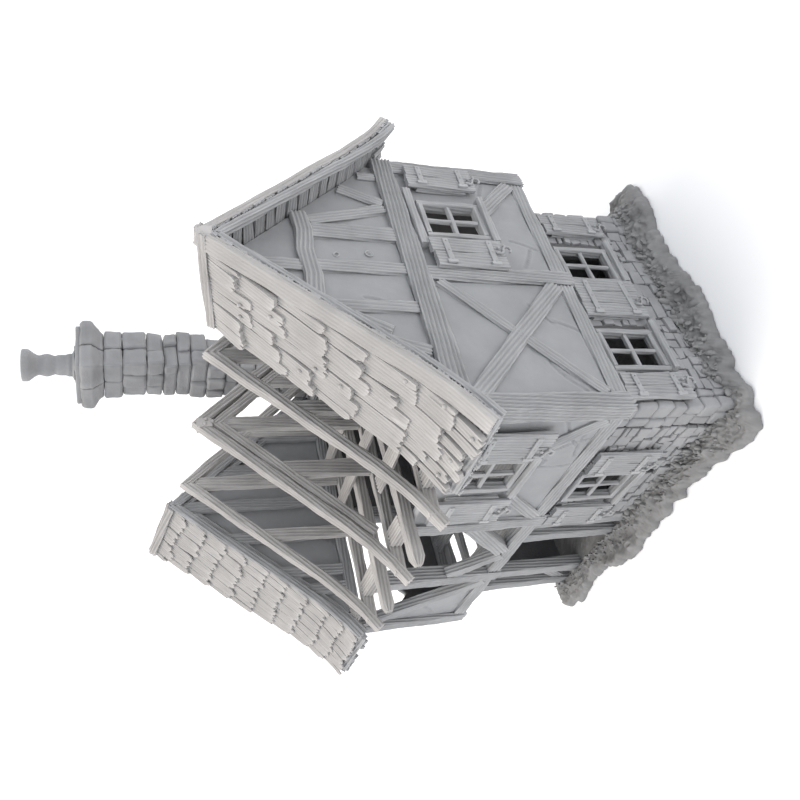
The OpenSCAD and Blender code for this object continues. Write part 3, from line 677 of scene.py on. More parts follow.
def window_piece(name, node, body, openings):
    """The casements of a frame node: where each stands, how far its sill runs, and its head."""
    cage = new_cage()
    for place, sill, head in openings:
        casement(cage, place, sill, head)
    make_piece(name, cage, body, timber, [node], carving(0.00035, 0.45))


def facing_front(x, z, y):
    """Maps along, up and out from a point of a wall that faces the front."""
    return lambda a, b, o: (x + a, y - o, z + b)


def facing_back(x, z, y):
    """The same for a wall that faces the back."""
    return lambda a, b, o: (x - a, y + o, z + b)


def facing_gable(y, z, x):
    """The same for a wall that faces right, as the gable does."""
    return lambda a, b, o: (x + o, y + a, z + b)


plain_sill = (-11, 11)
front_x, ground_z = window_middle("ground_front_window", 0)
back_x, _ = window_middle("ground_back_window", 0)
near_y, _ = window_middle("ground_gable_windows", 1, 0, -1.5)
far_y, _ = window_middle("ground_gable_windows", 1, 1, -1.5)
ground_front = facing_front(front_x, ground_z, stone_lo.y)
ground_back = facing_back(back_x, ground_z, stone_hi.y)
ground_near = facing_gable(near_y, ground_z, stone_hi.x)
ground_far = facing_gable(far_y, ground_z, stone_hi.x)
window_piece("front_casement", "ground_front_window", "ground_floor", [(ground_front, plain_sill, False)])
window_piece("back_casement", "ground_back_window", "ground_floor", [(ground_back, plain_sill, False)])
window_piece("gable_casements", "ground_gable_windows", "ground_floor",
             [(ground_near, (-9, 12), False), (ground_far, (-9, 12), False)])

panel_face_y = box_mm("front_panel")[0].y
panel_back_y = box_mm("back_panels")[1].y
panel_gable_x = box_mm("gable_panels")[1].x
upper_x, upper_z = window_middle("upper_front_window", 0)
upper_back_x, _ = window_middle("upper_back_window", 0)
gable_window = box_mm("upper_gable_window")
upper_y = (gable_window[0].y + gable_window[1].y) / 2
upper_front = facing_front(upper_x, upper_z, panel_face_y)
upper_back = facing_back(upper_back_x, upper_z, panel_back_y)
upper_gable = facing_gable(upper_y, upper_z, panel_gable_x)
window_piece("upper_front_casement", "upper_front_window", "upper_floor", [(upper_front, plain_sill, False)])
window_piece("upper_back_casement", "upper_back_window", "upper_floor", [(upper_back, plain_sill, False)])
window_piece("upper_gable_casement", "upper_gable_window", "upper_floor", [(upper_gable, plain_sill, True)])

# ---- Shutters ----
# Plank shutters fixed open beside the windows: rough boards of uneven length with a batten behind
# and two studded iron straps across, and a curled iron hook below that holds each one back.
smiths = random.Random(53)
shutter_h = 25.0
plank_t = 1.7


def stud(cage, spot, radius=0.42):
    """The domed head of an iron stud."""
    made = bmesh.ops.create_icosphere(cage, subdivisions=1, radius=radius)["verts"]
    for v in made:
        v.co += Vector(spot)


def sorted_box(p, q):
    """Two opposite corners as a lowest and a highest corner."""
    return [min(a, b) for a, b in zip(p, q)], [max(a, b) for a, b in zip(p, q)]


def curl(cage, place, a, b, out):
    """An S-shaped iron hook with a splayed plate, hung from the foot of a shutter."""
    bend = [(-1.9, 1.9), (-2.3, 0.8), (-1.4, 0.0), (0.0, -0.4), (1.1, -1.4), (0.6, -2.7), (-0.7, -2.9),
            (-1.5, -2.2)]
    beam(cage, [place(a + x, b + y, out + 0.3) for x, y in bend], 0.8, 0.85,
         up=Vector(place(0, 0, 1)) - Vector(place(0, 0, 0)), seed=smiths, wobble=0, fine=0.5)
    for x, y in ((-1.9, 2.2), (0.3, 1.3), (1.5, -1.0)):
        stud(cage, place(a + x, b + y, out + 0.3), 0.62)


def shutter(planks, iron, place, left, wide, boards):
    """A shutter from its left edge. Planks and ironwork go into separate cages."""
    gap = 0.3
    board_w = (wide - gap * (boards - 1)) / boards
    face = out_by + plank_t
    for i in range(boards):
        a = left + board_w / 2 + i * (board_w + gap)
        low = -shutter_h / 2 + smiths.uniform(-0.5, 0.6)
        high = shutter_h / 2 + smiths.uniform(-0.7, 0.4)
        foot, head = place(a, low, out_by + plank_t / 2), place(a, high, out_by + plank_t / 2)
        across = Vector(place(a + 1, low, 0)) - Vector(place(a, low, 0))
        beam(planks, [foot, head], plank_t, board_w, up=across, seed=smiths, wobble=0.12)
    batten = left + wide - 1.2 if left < 0 else left + 1.2
    across = Vector(place(1, 0, 0)) - Vector(place(0, 0, 0))
    path = [place(batten, -9, out_by / 2), place(batten, 9, out_by / 2)]
    beam(planks, path, out_by, 2, up=across, seed=smiths)
    for b in (-7.4, 7.6):
        start, end = left + 0.7, left + wide - 0.9
        beam(iron, [place(start, b, face + 0.25), place(end, b + smiths.uniform(-0.2, 0.2), face + 0.25)],
             0.7, 1.9, up=Vector(place(0, 1, 0)) - Vector(place(0, 0, 0)), seed=smiths, wobble=0.05, fine=1.2)
        plate = sorted_box(place(start - 0.3, b - 1.7, face), place(start + 1.1, b + 1.7, face + 0.75))
        rough_block(iron, *plate, smiths, 0.08)
        for t in (0.1, 0.5, 0.88):
            stud(iron, place(start + (end - start) * t, b, face + 0.6))
    curl(iron, place, left + wide * (0.62 if left < 0 else 0.4), -shutter_h / 2 + 1.2, face + 0.4)


def shutter_pieces(name, node, body, shutters):
    """The shutters of a frame node: by which window, from where, how wide, of how many boards."""
    planks, iron = new_cage(), new_cage()
    for place, left, wide, boards in shutters:
        shutter(planks, iron, place, left, wide, boards)
    make_piece(name + "_planks", planks, body, timber, [node], carving(0.0005, 0.45))
    make_piece(name + "_iron", iron, body, timber, (),
               [("BEVEL", {"width": 0.00018, "segments": 2, "limit_method": "ANGLE", "angle_limit": 0.7})])


shutter_pieces("ground_shutter", "ground_shutters", "ground_floor", [
    (ground_front, -22.4, 11, 2), (ground_front, 11.4, 11.5, 2),
    (ground_near, -21.5, 10, 2), (ground_near, 13.7, 17, 3), (ground_far, 14.6, 10, 2),
    (ground_back, -23, 11.5, 2), (ground_back, 11.5, 11.5, 2),
])
shutter_pieces("upper_shutter", "upper_shutters", "upper_floor", [
    (upper_front, -25, 12.4, 2), (upper_front, 11.4, 12.4, 2),
    (upper_gable, -24, 12.4, 2), (upper_gable, 14.6, 10.6, 2),
    (upper_back, -23.8, 12.4, 2),
])

# ---- Upper floor ----
# Joists, floor boards with two broken away over the open corner, the sills that carry the walls,
# and the small lugs underneath that find the stone walls.
timbers("joists", "floor_joists", 1, "upper_floor")
timbers("boards", "floor_boards", 0, "upper_floor")
timbers("lugs_below_floor", "floor_lugs", 2, "upper_floor")
timbers("sills_long", "long_sills", 0, "upper_floor")
timbers("sills_gable", "gable_sills", 1, "upper_floor")

# ---- Posts of the timber storey ----
# Corner posts and wall posts, squared and deeply grained. Their feet hang a little below the
# sills and are cut smaller.
deep_carved = carving(0.00095, 0.55)


def posts(name, node):
    """The posts of a frame node, each with a smaller foot."""
    cage = new_cage()
    for low, high in solids_of(node):
        x, y = (low.x + high.x) / 2, (low.y + high.y) / 2
        size = high - low
        beam(cage, [(x, y, low.z + 1), (x, y, high.z)], size.x, size.y, up=(0, 1, 0))
        beam(cage, [(x, y, low.z - 0.3), (x, y, low.z + 1.2)], size.x * 0.72, size.y * 0.72, up=(0, 1, 0))
    make_piece(name, cage, "upper_floor", timber, [node], deep_carved)


for place in ("corner", "front", "gable", "back"):
    posts(f"posts_{place}", f"{place}_posts")

# ---- Plaster ----
# Thin lime plaster between the timbers, trowelled almost flat. Cracks run in from its edges and
# from the windows, and it has lifted a little beside them.
plaster = printed_plastic("printed_plaster", (0.30, 0.307, 0.32), mottle=0.07, speck=420, speck_depth=0.5,
                          line_depth=0.9)
# The inner faces of the plaster get this dark colour: painted shade standing in for the dim inside of the
# house.
inner_wall_painted_shade = printed_plastic("painted_shade_inner_wall", (0.11, 0.11, 0.115), speck_depth=0.8)
plasterers = random.Random(61)


def crack(start, heading, length, seed, bend=0.16):
    """A crack's path across a wall: short straight runs that turn a little each time."""
    points, spot = [Vector(start)], Vector(start)
    while length > 0:
        step = seed.uniform(1.4, 3.4)
        heading += seed.uniform(-bend, bend)
        spot = spot + Vector((math.cos(heading), math.sin(heading))) * step
        points.append(spot.copy())
        length -= step
    return points


def gap_to(point, path):
    """Distance from a point to a path."""
    best = 99.0
    for a, b in zip(path, path[1:]):
        run = b - a
        t = max(0, min(1, (point - a).dot(run) / run.length_squared))
        best = min(best, (point - a - run * t).length)
    return best


def spaced(start, end, stops, pitch):
    """Values from start to end with every stop among them, about a pitch apart."""
    marks = sorted({start, end, *[s for s in stops if start < s < end]})
    values = [start]
    for a, b in zip(marks, marks[1:]):
        n = max(1, round((b - a) / pitch))
        values += [a + (b - a) * (i + 1) / n for i in range(n)]
    return values


def plaster_sheet(cage, place, area, cracks, hole=None, top_at=None, pitch=0.62):
    """A sheet of plaster over area (a0, b0, a1, b1), with an opening or a sloping top."""
    a0, b0, a1, b1 = area
    c0, d0, c1, d1 = hole or (a1, b1, a1, b1)
    columns, rows = spaced(a0, a1, (c0, c1), pitch), spaced(b0, b1, (d0, d1), pitch)
    grid = {}
    for i, a in enumerate(columns):
        for j, b in enumerate(rows):
            if top_at:
                b = b0 + (b - b0) / (b1 - b0) * (top_at(a) - b0)
            spot = Vector((a, b))
            edge = min(a - a0, a1 - a, b - b0, 4)
            sunk = noise.noise((a / 9, b / 9, a0)) * 0.16 + noise.noise((a / 2.5, b / 2.5, b0)) * 0.05
            near = min((gap_to(spot, path) for path in cracks), default=99)
            if near < 1.6:
                sunk += 0.14 * (1 - near / 1.6)
            if near < 0.5:
                sunk -= 0.75 * (1 - near / 0.5)
            grid[i, j] = cage.verts.new(place(a, b, sunk * min(1, edge / 0.7)))
    for i in range(len(columns) - 1):
        for j in range(len(rows) - 1):
            middle_a, middle_b = (columns[i] + columns[i + 1]) / 2, (rows[j] + rows[j + 1]) / 2
            if not (c0 < middle_a < c1 and d0 < middle_b < d1):
                cage.faces.new((grid[i, j], grid[i + 1, j], grid[i + 1, j + 1], grid[i, j + 1]))


def plaster_piece(name, nodes, body, sheets, thick):
    """Sheets of plaster made solid towards the inside of the wall, whose inner faces are coloured dark as
    painted shade.
    """
    cage = new_cage()
    for sheet in sheets:
        plaster_sheet(cage, **sheet)
    loose = [v for v in cage.verts if not v.link_faces]
    bmesh.ops.delete(cage, geom=loose, context="VERTS")
    place = sheets[0]["place"]
    outward = Vector(place(0, 0, 1)) - Vector(place(0, 0, 0))
    cage.normal_update()
    if sum(f.normal.dot(outward) for f in cage.faces) < 0:
        bmesh.ops.reverse_faces(cage, faces=cage.faces)
    thickness = ("SOLIDIFY", {"thickness": thick * MM, "offset": -1, "material_offset": 1})
    finish_piece(name, cage, body, [plaster, inner_wall_painted_shade], nodes, [thickness])


def hole_of(x, z):
    """The hole in the plaster behind a window."""
    half_w, half_h = glass_w / 2 + 1, glass_h / 2 + 1
    return (x - half_w, z - half_h, x + half_w, z + half_h)


def wall_cracks(area, starts):
    """Cracks that start at fractions of an area's sides, each with a heading and a length."""
    a0, b0, a1, b1 = area
    return [crack((a0 + (a1 - a0) * u, b0 + (b1 - b0) * v), heading, length, plasterers)
            for u, v, heading, length in starts]


front_plane = facing_front(0, 0, panel_face_y)
lo, hi = box_mm("front_panel")
area = (lo.x, lo.z, hi.x, hi.z)
plaster_piece("front_plaster", ["front_panel"], "upper_floor", [dict(
    place=front_plane, area=area, hole=hole_of(upper_x, upper_z), cracks=wall_cracks(area, [
        (0.30, 0.42, -0.4, 17), (0.55, 0.27, -1.5, 11), (0.64, 0.04, 0.4, 13), (0.60, 0.36, -0.5, 24),
        (0.97, 0.30, -2.5, 14), (0.02, 0.75, -0.7, 12),
    ]))], 2.8)

gable_plane = facing_gable(0, 0, panel_gable_x)
sheets = []
for k, (lo, hi) in enumerate(solids_of("gable_panels")):
    area = (lo.y, lo.z, hi.y, hi.z)
    with_window = lo.y < upper_y < hi.y
    starts = ([(0.98, 0.26, 2.6, 15), (0.25, 0.02, 1.1, 9), (0.05, 0.2, -0.5, 10)] if with_window
              else [(0.02, 0.16, 0.8, 14), (0.55, 0.0, 1.0, 8), (0.8, 0.32, -2.4, 9), (0.98, 0.9, -2.6, 10)])
    sheets.append(dict(place=gable_plane, area=area, cracks=wall_cracks(area, starts),
                       hole=hole_of(upper_y, upper_z) if with_window else None))
plaster_piece("gable_plaster", ["gable_panels"], "upper_floor", sheets, 2.8)

sheets = []
for lo, hi in solids_of("back_panels"):
    area = (lo.x, lo.z, hi.x, hi.z)
    with_window = lo.x < upper_back_x < hi.x
    sheets.append(dict(place=lambda a, b, o: (a, panel_back_y + o, b), area=area, pitch=0.9,
                       hole=hole_of(upper_back_x, upper_z) if with_window else None,
                       cracks=wall_cracks(area, [(0.03, 0.2, 0.7, 16), (0.97, 0.7, -2.5, 14)])))
plaster_piece("back_plaster", ["back_panels"], "upper_floor", sheets, 2.8)

left_face_x = box_mm("left_panels")[0].x
sheets = []
for lo, hi in solids_of("left_panels"):
    area = (lo.y, lo.z, hi.y, hi.z)
    broken = hi.z < 90
    sheets.append(dict(
        place=lambda a, b, o: (left_face_x - o, a, b), area=area, pitch=0.9,
        top_at=(lambda a, z=hi.z: z - 1.2 + noise.noise((a / 3, 0, 4)) * 2.2) if broken else None,
        cracks=wall_cracks(area, [(0.03, 0.3, 0.5, 16), (0.9, 0.9, -2.3, 14)])))
plaster_piece("left_plaster", ["left_panels"], "upper_floor", sheets, 2.8)

# ---- Broken infill of the open bay ----
# A wedge of wattle and plaster left in the corner under the long brace. Its free edge runs
# beside the brace.
lo, hi = box_mm("bay_panel")
bay_y = lo.y
wedge_top = hi.z


def wedge_edge(a):
    """Height of the wedge along the wall: full at the corner post and falling with the brace."""
    t = (a - lo.x) / (hi.x - lo.x)
    return max(lo.z + 0.6, wedge_top - (wedge_top - lo.z) * t + noise.noise((a / 2.5, 0, 9)) * 0.5)


area = (lo.x, lo.z, hi.x, hi.z)
plaster_piece("bay_plaster", ["bay_panel"], "upper_floor", [dict(
    place=facing_front(0, 0, bay_y), area=area, top_at=wedge_edge, pitch=0.8,
    cracks=wall_cracks(area, [(0.1, 0.3, 0.4, 10)]))], 1.9)

# ---- Braces of the timber storey ----
# Flat slanting timbers let into the plaster, crossing in the gable, and stout free braces in
# the two open bays, where the plaster is gone.


def inset_brace(cage, place, start, end, wide, proud, deep):
    """A flat brace between two points of a wall, its face proud of the plaster."""
    mid = proud - deep / 2
    a, b = Vector(place(*start, mid)), Vector(place(*end, mid))
    out = Vector(place(0, 0, 1)) - Vector(place(0, 0, 0))
    beam(cage, [a, b], wide, deep, up=out)


brace_w = 4.5
cage = new_cage()
half_low, half_high = solids_of("gable_panels")[0]
x0, x1, z0, z1 = half_low.y, half_high.y, half_low.z, half_high.z
inset_brace(cage, gable_plane, (x0 + 0.5, z1 - 2.4), (x1 - 0.6, z0 + 1.4), brace_w + 1.1, 1.3, 1.9)
inset_brace(cage, gable_plane, (x1 - 0.4, z1 - 2.6), (x0 + 0.3, z0 + 1.2), brace_w - 0.6, 1.0, 1.6)
inset_brace(cage, gable_plane, (30.5, 75.8), (47.2, 60.2), brace_w + 0.7, 1.1, 1.6)
make_piece("gable_cross", cage, "upper_floor", timber, ["gable_braces"], carved)
cage = new_cage()
inset_brace(cage, front_plane, (13.5, 58.2), (27.6, 74.5), brace_w, 1.2, 1.8)
inset_brace(cage, front_plane, (69.4, 59.6), (55.2, 74.6), brace_w, 1.0, 1.8)
make_piece("front_short_braces", cage, "upper_floor", timber, ["front_low_braces"], carved)

cage = new_cage()
bay_lo, bay_hi = box_mm("bay_braces")
bay_mid_y = (bay_lo.y + bay_hi.y) / 2
brace_t = bay_hi.y - bay_lo.y


def bay_brace(points, wide):
    """A stout brace through points of an open bay."""
    beam(cage, [(x, bay_mid_y, z) for x, z in points], brace_t, wide)


bay_brace([(-71.2, 101), (-62, 88.5), (-52, 74.5), (-44, 64), (-38.5, 57.5)], brace_w)
bay_brace([(-30.5, 76), (-24, 67.6), (-16.6, 58.6)], brace_w - 0.6)
bay_brace([(7.4, 80.2), (-3, 70), (-13.4, 59.6)], brace_w + 1.6)
make_piece("open_bay_braces", cage, "upper_floor", timber, ["bay_braces"], carved)

# ---- Plates, tie beams and joists of the attic ----
# The back plate, what is left of the front plate, the tie beams of the gables, joists with thinned
# ends, loose boards on top of them, and the lugs that hold the roof in place.
# A lighter, warmer copy of the timber for the front plate, loose boards, attic joists and trusses: painted
# light where the warm lamp from above falls on them.
timber_painted_light = printed_plastic("printed_timber_painted_light", (0.355, 0.345, 0.34), mottle=0.14, speck=1500,
                              speck_depth=0.4, fibres=True)
timbers("plate_front", "front_plate", 0, "roof", timber_painted_light)
timbers("plate_back", "back_plate", 0, "roof")
timbers("tie_beams", "gable_tie_beams", 1, "roof", stack=deep_carved)
timbers("lugs_below_roof", "roof_lugs", 2, "roof")
timbers("loose_boards", "attic_boards", 0, "roof", timber_painted_light)
cage = new_cage()
for low, high in solids_of("attic_joists"):
    x, z = (low.x + high.x) / 2, (low.z + high.z) / 2
    run = [(x, y, z) for y in (low.y, low.y + 2.6, high.y - 2.6, high.y)]
    beam(cage, run, high.x - low.x, high.z - low.z, tips=0.5)
make_piece("joist_timbers", cage, "roof", timber_painted_light, ["attic_joists"], carved)

# ---- Trusses ----
# Pairs of bent rafters on tie beams, with a king post and two queen posts. The middle truss has
# a second pair of rafters inside the first, and a block of wood under its peak.
truss_t = 3.4
rafter_h = 4.1
rafter_end = 66.0
eave_y, eave_z = 65.0, 107.0
flare_y, flare = 42.0, 0.0105


def slope(y, top):
    """Height of a roof slope at y from the ridge: straight, then flatter towards the eave."""
    fall = (top + flare * (eave_y - flare_y) ** 2 - eave_z) / eave_y
    return top - fall * abs(y) + flare * max(0, abs(y) - flare_y) ** 2


def bent_rafter(cage, x, top, end, side, tall=rafter_h, drop=0.0, wide=truss_t):
    """One bent rafter from the peak to end, its upper face a drop below the slope."""
    n = round(end / 7)
    ys = [end * i / n for i in range(n + 1)]
    path = [(x, side * y, slope(y, top) - drop - tall * 0.68) for y in ys]
    beam(cage, path, wide, tall * 0.86, up=(0, side * 0.7, 0.7), mitre=True)


def cut_post(cage, path, wide, deep, height_at):
    """A post along a path, with its head cut to a height for each y."""
    first = len(cage.verts)
    beam(cage, path, wide, deep, up=(0, 1, 0))
    for corner in list(cage.verts)[first:]:
        if corner.co.z > path[-1][2] - 0.5:
            corner.co.z = height_at(corner.co.y)


def truss(name, node, queen_y, doubled=False, back_end=rafter_end):
    """A truss: its rafters, its tie beam, queen posts at queen_y and a king post in two parts."""
    lo, hi = box_mm(node)
    x, top = (lo.x + hi.x) / 2, hi.z
    tie_h = 4.2
    tie_z, tie_top = lo.z + tie_h / 2, lo.z + tie_h
    sunk = 9.4 if doubled else 3.2
    queen_deep = 6.6 if doubled else 4.8
    cage = new_cage()

    def under_rafter(y):
        """Height, inside the lowest rafter, where the posts end."""
        return slope(y, top) - sunk

    for side, end in ((-1, rafter_end), (1, back_end)):
        bent_rafter(cage, x, top, end, side)
        if doubled:
            bent_rafter(cage, x, top, 47.0, side, drop=rafter_h + 2.2, wide=truss_t - 0.6)
        beam(cage, [(x, side * 0.4, tie_z), (x, side * min(end, 63), tie_z)], truss_t - 0.4, tie_h)
        head = (x, side * (queen_y - 0.4), under_rafter(queen_y) - 4)
        cut_post(cage, [(x, side * queen_y, tie_top), head], truss_t - 1.0, queen_deep, under_rafter)
    king_top = top - sunk - 4
    for foot_y, middle_y, head_y, thin, deep in ((-1.7, -1.2, -0.9, 1.0, 3.6), (2.0, 1.5, 1.0, 1.2, 3.2)):
        path = [(x, foot_y, tie_top), (x, middle_y, (tie_z + king_top) / 2), (x, head_y, king_top)]
        cut_post(cage, path, truss_t - thin, deep, under_rafter)
    if doubled:
        face = truss_t / 2
        rough_block(cage, (x - face - 0.2, -1.6, top - 7), (x + face + 0.2, 1.6, top - 2), carpenters, 0.4)
        for y, drop in ((-0.9, 4.6), (1.0, 5.2), (0, 7.3)):
            stud(cage, (x + face + 0.45, y, top - drop), 0.55)
    make_piece(name, cage, "roof", timber_painted_light, [node], carved)


truss("truss_timbers_right", "truss_right", 22.0)
truss("truss_timbers_middle", "truss_middle", 20.6, doubled=True)
truss("truss_timbers_left", "truss_left", 25.0, back_end=53.6)

# ---- Gable above the tie beam ----
# The plastered triangle under the right roof, with studs, a wavy collar and slanting struts
# let into it, and two peg holes with raised rims.
board_drop = 4.0
ridge_lo, ridge_hi = box_mm("right_shingles")
left_roof_lo, left_roof_hi = box_mm("left_shingles")
right_ends, right_tops = (ridge_lo.x, ridge_hi.x), (167.5, 173.5)
left_ends, left_tops = (left_roof_lo.x, left_roof_hi.x), (181.0, 175.0)


def ridge_at(x, ends, tops):
    """Height of a ridge that runs between two heights, at x."""
    return tops[0] + (tops[1] - tops[0]) * (x - ends[0]) / (ends[1] - ends[0])


def triangle_top(ridge):
    """The height of the wall under a roof, for each distance from the ridge."""
    return lambda a: slope(a, ridge) - board_drop


lo, hi = box_mm("gable_infill")
area = (lo.y, lo.z, hi.y, hi.z)
gable_ridge = ridge_at(lo.x, right_ends, right_tops)
peg_holes = [Vector((5.5, 131.7)), Vector((6.8, 121.1))]
plaster_piece("gable_triangle", ["gable_infill"], "roof", [dict(
    place=facing_gable(0, 0, hi.x), area=area, top_at=triangle_top(gable_ridge), pitch=0.5,
    cracks=wall_cracks(area, [(0.36, 0.1, 1.3, 9), (0.62, 0.0, 1.2, 9)])
    + [[hole, hole + Vector((0.3, 0))] for hole in peg_holes])], 2.8)

cage = new_cage()
triangle_plane = facing_gable(0, 0, hi.x)
top_of = triangle_top(gable_ridge)
collar_z = 140.6
tie_z = lo.z


def upright(y, wide, z0, z1):
    """A stud let into the plaster of the triangle."""
    inset_brace(cage, triangle_plane, (y, z0), (y, z1), wide, 1.25, 1.9)


for y, wide in ((-15.7, 4.3), (0.4, 4.8), (15.8, 6.2)):
    upright(y, wide, tie_z, collar_z - 2.4)
upright(0.2, 4.4, collar_z + 2.4, top_of(2.5) + 0.6)
collar = [(-23, -0.2), (-14, 0.5), (-4, -0.3), (6, 0.4), (15, -0.4), (23, 0.3)]
beam(cage, [triangle_plane(y, collar_z + wave, 0.5) for y, wave in collar], 5.4, 2.4, up=(1, 0, 0))
for y0, z0, y1 in ((20, collar_z - 2.8, 28.5), (37, 125.4, 31), (-23.4, collar_z - 2.8, -32.5)):
    inset_brace(cage, triangle_plane, (y0, z0), (y1, tie_z + 0.5), 4.2, 1.2, 1.8)
upright(45, 3.2, tie_z, top_of(46.5))
upright(-45, 3.2, tie_z, top_of(46.5))
inset_brace(cage, triangle_plane, (-24.6, 121), (-18.6, 131), 3.2, 0.9, 1.4)
turns = [math.radians(30 * k) for k in range(13)]
for hole in peg_holes:
    ring = [triangle_plane(hole.x + 0.15 + math.cos(t), hole.y + math.sin(t), 0.15) for t in turns]
    beam(cage, ring, 0.45, 0.5, up=(1, 0, 0), wobble=0)
make_piece("gable_timbering", cage, "roof", timber, ["gable_studs"], carved)

# ---- Closed end of the left roof ----
# A partition of studs on plaster that shuts the left attic off from the bare trusses, and the
# plain plastered triangle at the far end.
(outer_lo, outer_hi), (lo, hi) = solids_of("left_gable_infill")
left_end_ridge = left_tops[1]
area = (lo.y, lo.z, hi.y, hi.z)
outer_area = (outer_lo.y, outer_lo.z, outer_hi.y, outer_hi.z)
outer_ridge = ridge_at(outer_hi.x, left_ends, left_tops)
plaster_piece("left_partition", ["left_gable_infill"], "roof", [
    dict(place=facing_gable(0, 0, hi.x), area=area, top_at=triangle_top(left_end_ridge), pitch=1.0,
         cracks=wall_cracks(area, [(0.3, 0.0, 1.3, 14)])),
], 1.5)
plaster_piece("left_triangle", [], "roof", [
    dict(place=lambda a, b, o: (outer_lo.x - o, a, b), area=outer_area, top_at=triangle_top(outer_ridge),
         pitch=1.0, cracks=wall_cracks(outer_area, [(0.35, 0.0, 1.6, 16)])),
], 2.8)
cage = new_cage()
stud_lo, stud_hi = box_mm("left_gable_studs")
top_of = triangle_top(left_end_ridge)
stud_x = stud_hi.x - 1.2
for y in (-41, -33, -16.4, -0.8, 16, 33):
    cut_post(cage, [(stud_x, y, stud_lo.z + 4), (stud_x, y, top_of(abs(y) + 2.5))], 2.4, 4.8, top_of)
timber_box(cage, (stud_lo.x, stud_lo.y, stud_lo.z), (stud_hi.x, stud_hi.y, stud_lo.z + 4.2), 1)
make_piece("partition_studs", cage, "roof", timber, ["left_gable_studs"], carved)

# ---- Rafters under the two roofs ----
# Bent rafters in pairs under the boards, one pair right at the edge of each roof. The pair that
# overhangs the right gable is thinner.
overhang_x = box_mm("gable_infill")[1].x


def rafter_pairs(name, node, ends, tops):
    """The rafters of a frame node, whose roof's ridge runs between two ends and heights."""
    cage = new_cage()
    for low, high in solids_of(node):
        x = (low.x + high.x) / 2
        ridge = ridge_at(x, ends, tops)
        for side in (-1, 1):
            tall = 2.4 if x > overhang_x else 4.6
            bent_rafter(cage, x, ridge, 62.0, side, tall, board_drop, high.x - low.x)
    make_piece(name, cage, "roof", timber, [node], carved)


rafter_pairs("rafters_right", "right_rafters", right_ends, right_tops)
rafter_pairs("rafters_left", "left_rafters", left_ends, left_tops)

# ---- Roof boards ----
# Rough boards laid along the house on the rafters, with gaps between them. They show from
# underneath, and at the eaves they stick out below the last shakes.


def out_of_slope(y, side, ridge):
    """The direction square out of a roof slope, at y from the ridge."""
    step = 0.5
    fall = slope(y, ridge) - slope(y + step, ridge)
    return Vector((0, side * fall, step)).normalized()


def on_slope(x, y, side, ends, tops, lift):
    """A point of a roof, lifted out of its slope."""
    ridge = ridge_at(x, ends, tops)
    return Vector((x, side * y, slope(y, ridge))) + out_of_slope(y, side, ridge) * lift


def roof_boarding(name, node, ends, tops, seed):
    """Boards of uneven width from ridge to eave, on both slopes."""
    cage = new_cage()
    for side in (-1, 1):
        y = 1.2
        while y < 64:
            wide = seed.uniform(3.4, 4.6)
            middle = min(y + wide * 0.35, 64.3)
            x0, x1 = ends[0] + seed.uniform(0, 1.2), ends[1] - seed.uniform(0.1, 0.9)
            path = [on_slope(x, middle, side, ends, tops, -2.2) for x in (x0, (x0 + x1) / 2, x1)]
            beam(cage, path, wide, 1.2, up=out_of_slope(middle, side, tops[0]), seed=seed, wobble=0.12)
            y += wide * 0.72 + 0.35
    make_piece(name, cage, "roof", timber, [node], carved)


roof_boarding("boards_right", "right_roof_boards", right_ends, right_tops, random.Random(71))
roof_boarding("boards_left", "left_roof_boards", left_ends, left_tops, random.Random(72))

# ---- Shakes of the right roof ----
# Long split shakes in staggered courses, each with its own width, lean and ragged lower end.
# A plain board, with a strip under it, covers their ends along the gable.
roofing = printed_plastic("printed_roofing", (0.345, 0.338, 0.335), mottle=0.09, speck=1300, speck_depth=0.5,
                          fibres=True)


def shake(cage, ends, tops, side, x, wide, y_top, y_low, seed, thick, end_shape, lift):
    """One shake or shingle: a thin board down the slope. end_shape gives the drop of its end."""
    columns = 10
    rows = max(3, round((y_low - y_top) / 2.2))
    lean = seed.uniform(-0.35, 0.35)
    tilt = seed.uniform(-0.12, 0.3)
    grain_map = cage.loops.layers.uv["grain"]
    shift, slide = seed.uniform(0, 50), seed.uniform(0, 50)
    ups, unders = {}, {}
    for i in range(columns + 1):
        across = i / columns
        end = y_low + end_shape(across)
        for j in range(rows + 1):
            t = j / rows
            y = y_top + (end - y_top) * t
            place_x = x + wide * across + lean * t + seed.uniform(-0.05, 0.05)
            place_x = min(max(place_x, ends[0] + 0.05), ends[1] - 0.05)
            crown = 0.12 * math.sin(math.pi * across) + tilt * t
            height = -1.35 + 1.15 * t + crown + lift * t
            ups[i, j] = cage.verts.new(on_slope(place_x, y, side, ends, tops, height + thick * 0.5))
            unders[i, j] = cage.verts.new(on_slope(place_x, y, side, ends, tops, height - thick * 0.5))

    def face(corners, marks):
        made = cage.faces.new(corners)
        for loop, (a, b) in zip(made.loops, marks):
            loop[grain_map].uv = (b * 0.02 + slide, a * 0.24 + shift)

    def mark(i, j):
        return (wide * i / columns, (y_low - y_top) * j / rows)

    for i in range(columns):
        for j in range(rows):
            quad = ((i, j), (i + 1, j), (i + 1, j + 1), (i, j + 1))
            face([ups[q] for q in quad], [mark(*q) for q in quad])
            face([unders[q] for q in reversed(quad)], [mark(*q) for q in reversed(quad)])
    border = [(i, 0) for i in range(columns)] + [(columns, j) for j in range(rows)]
    border += [(i, rows) for i in range(columns, 0, -1)] + [(0, j) for j in range(rows, 0, -1)]
    for p, q in zip(border, border[1:] + border[:1]):
        face([ups[p], ups[q], unders[q], unders[p]], [mark(*p), mark(*q), mark(*q), mark(*p)])


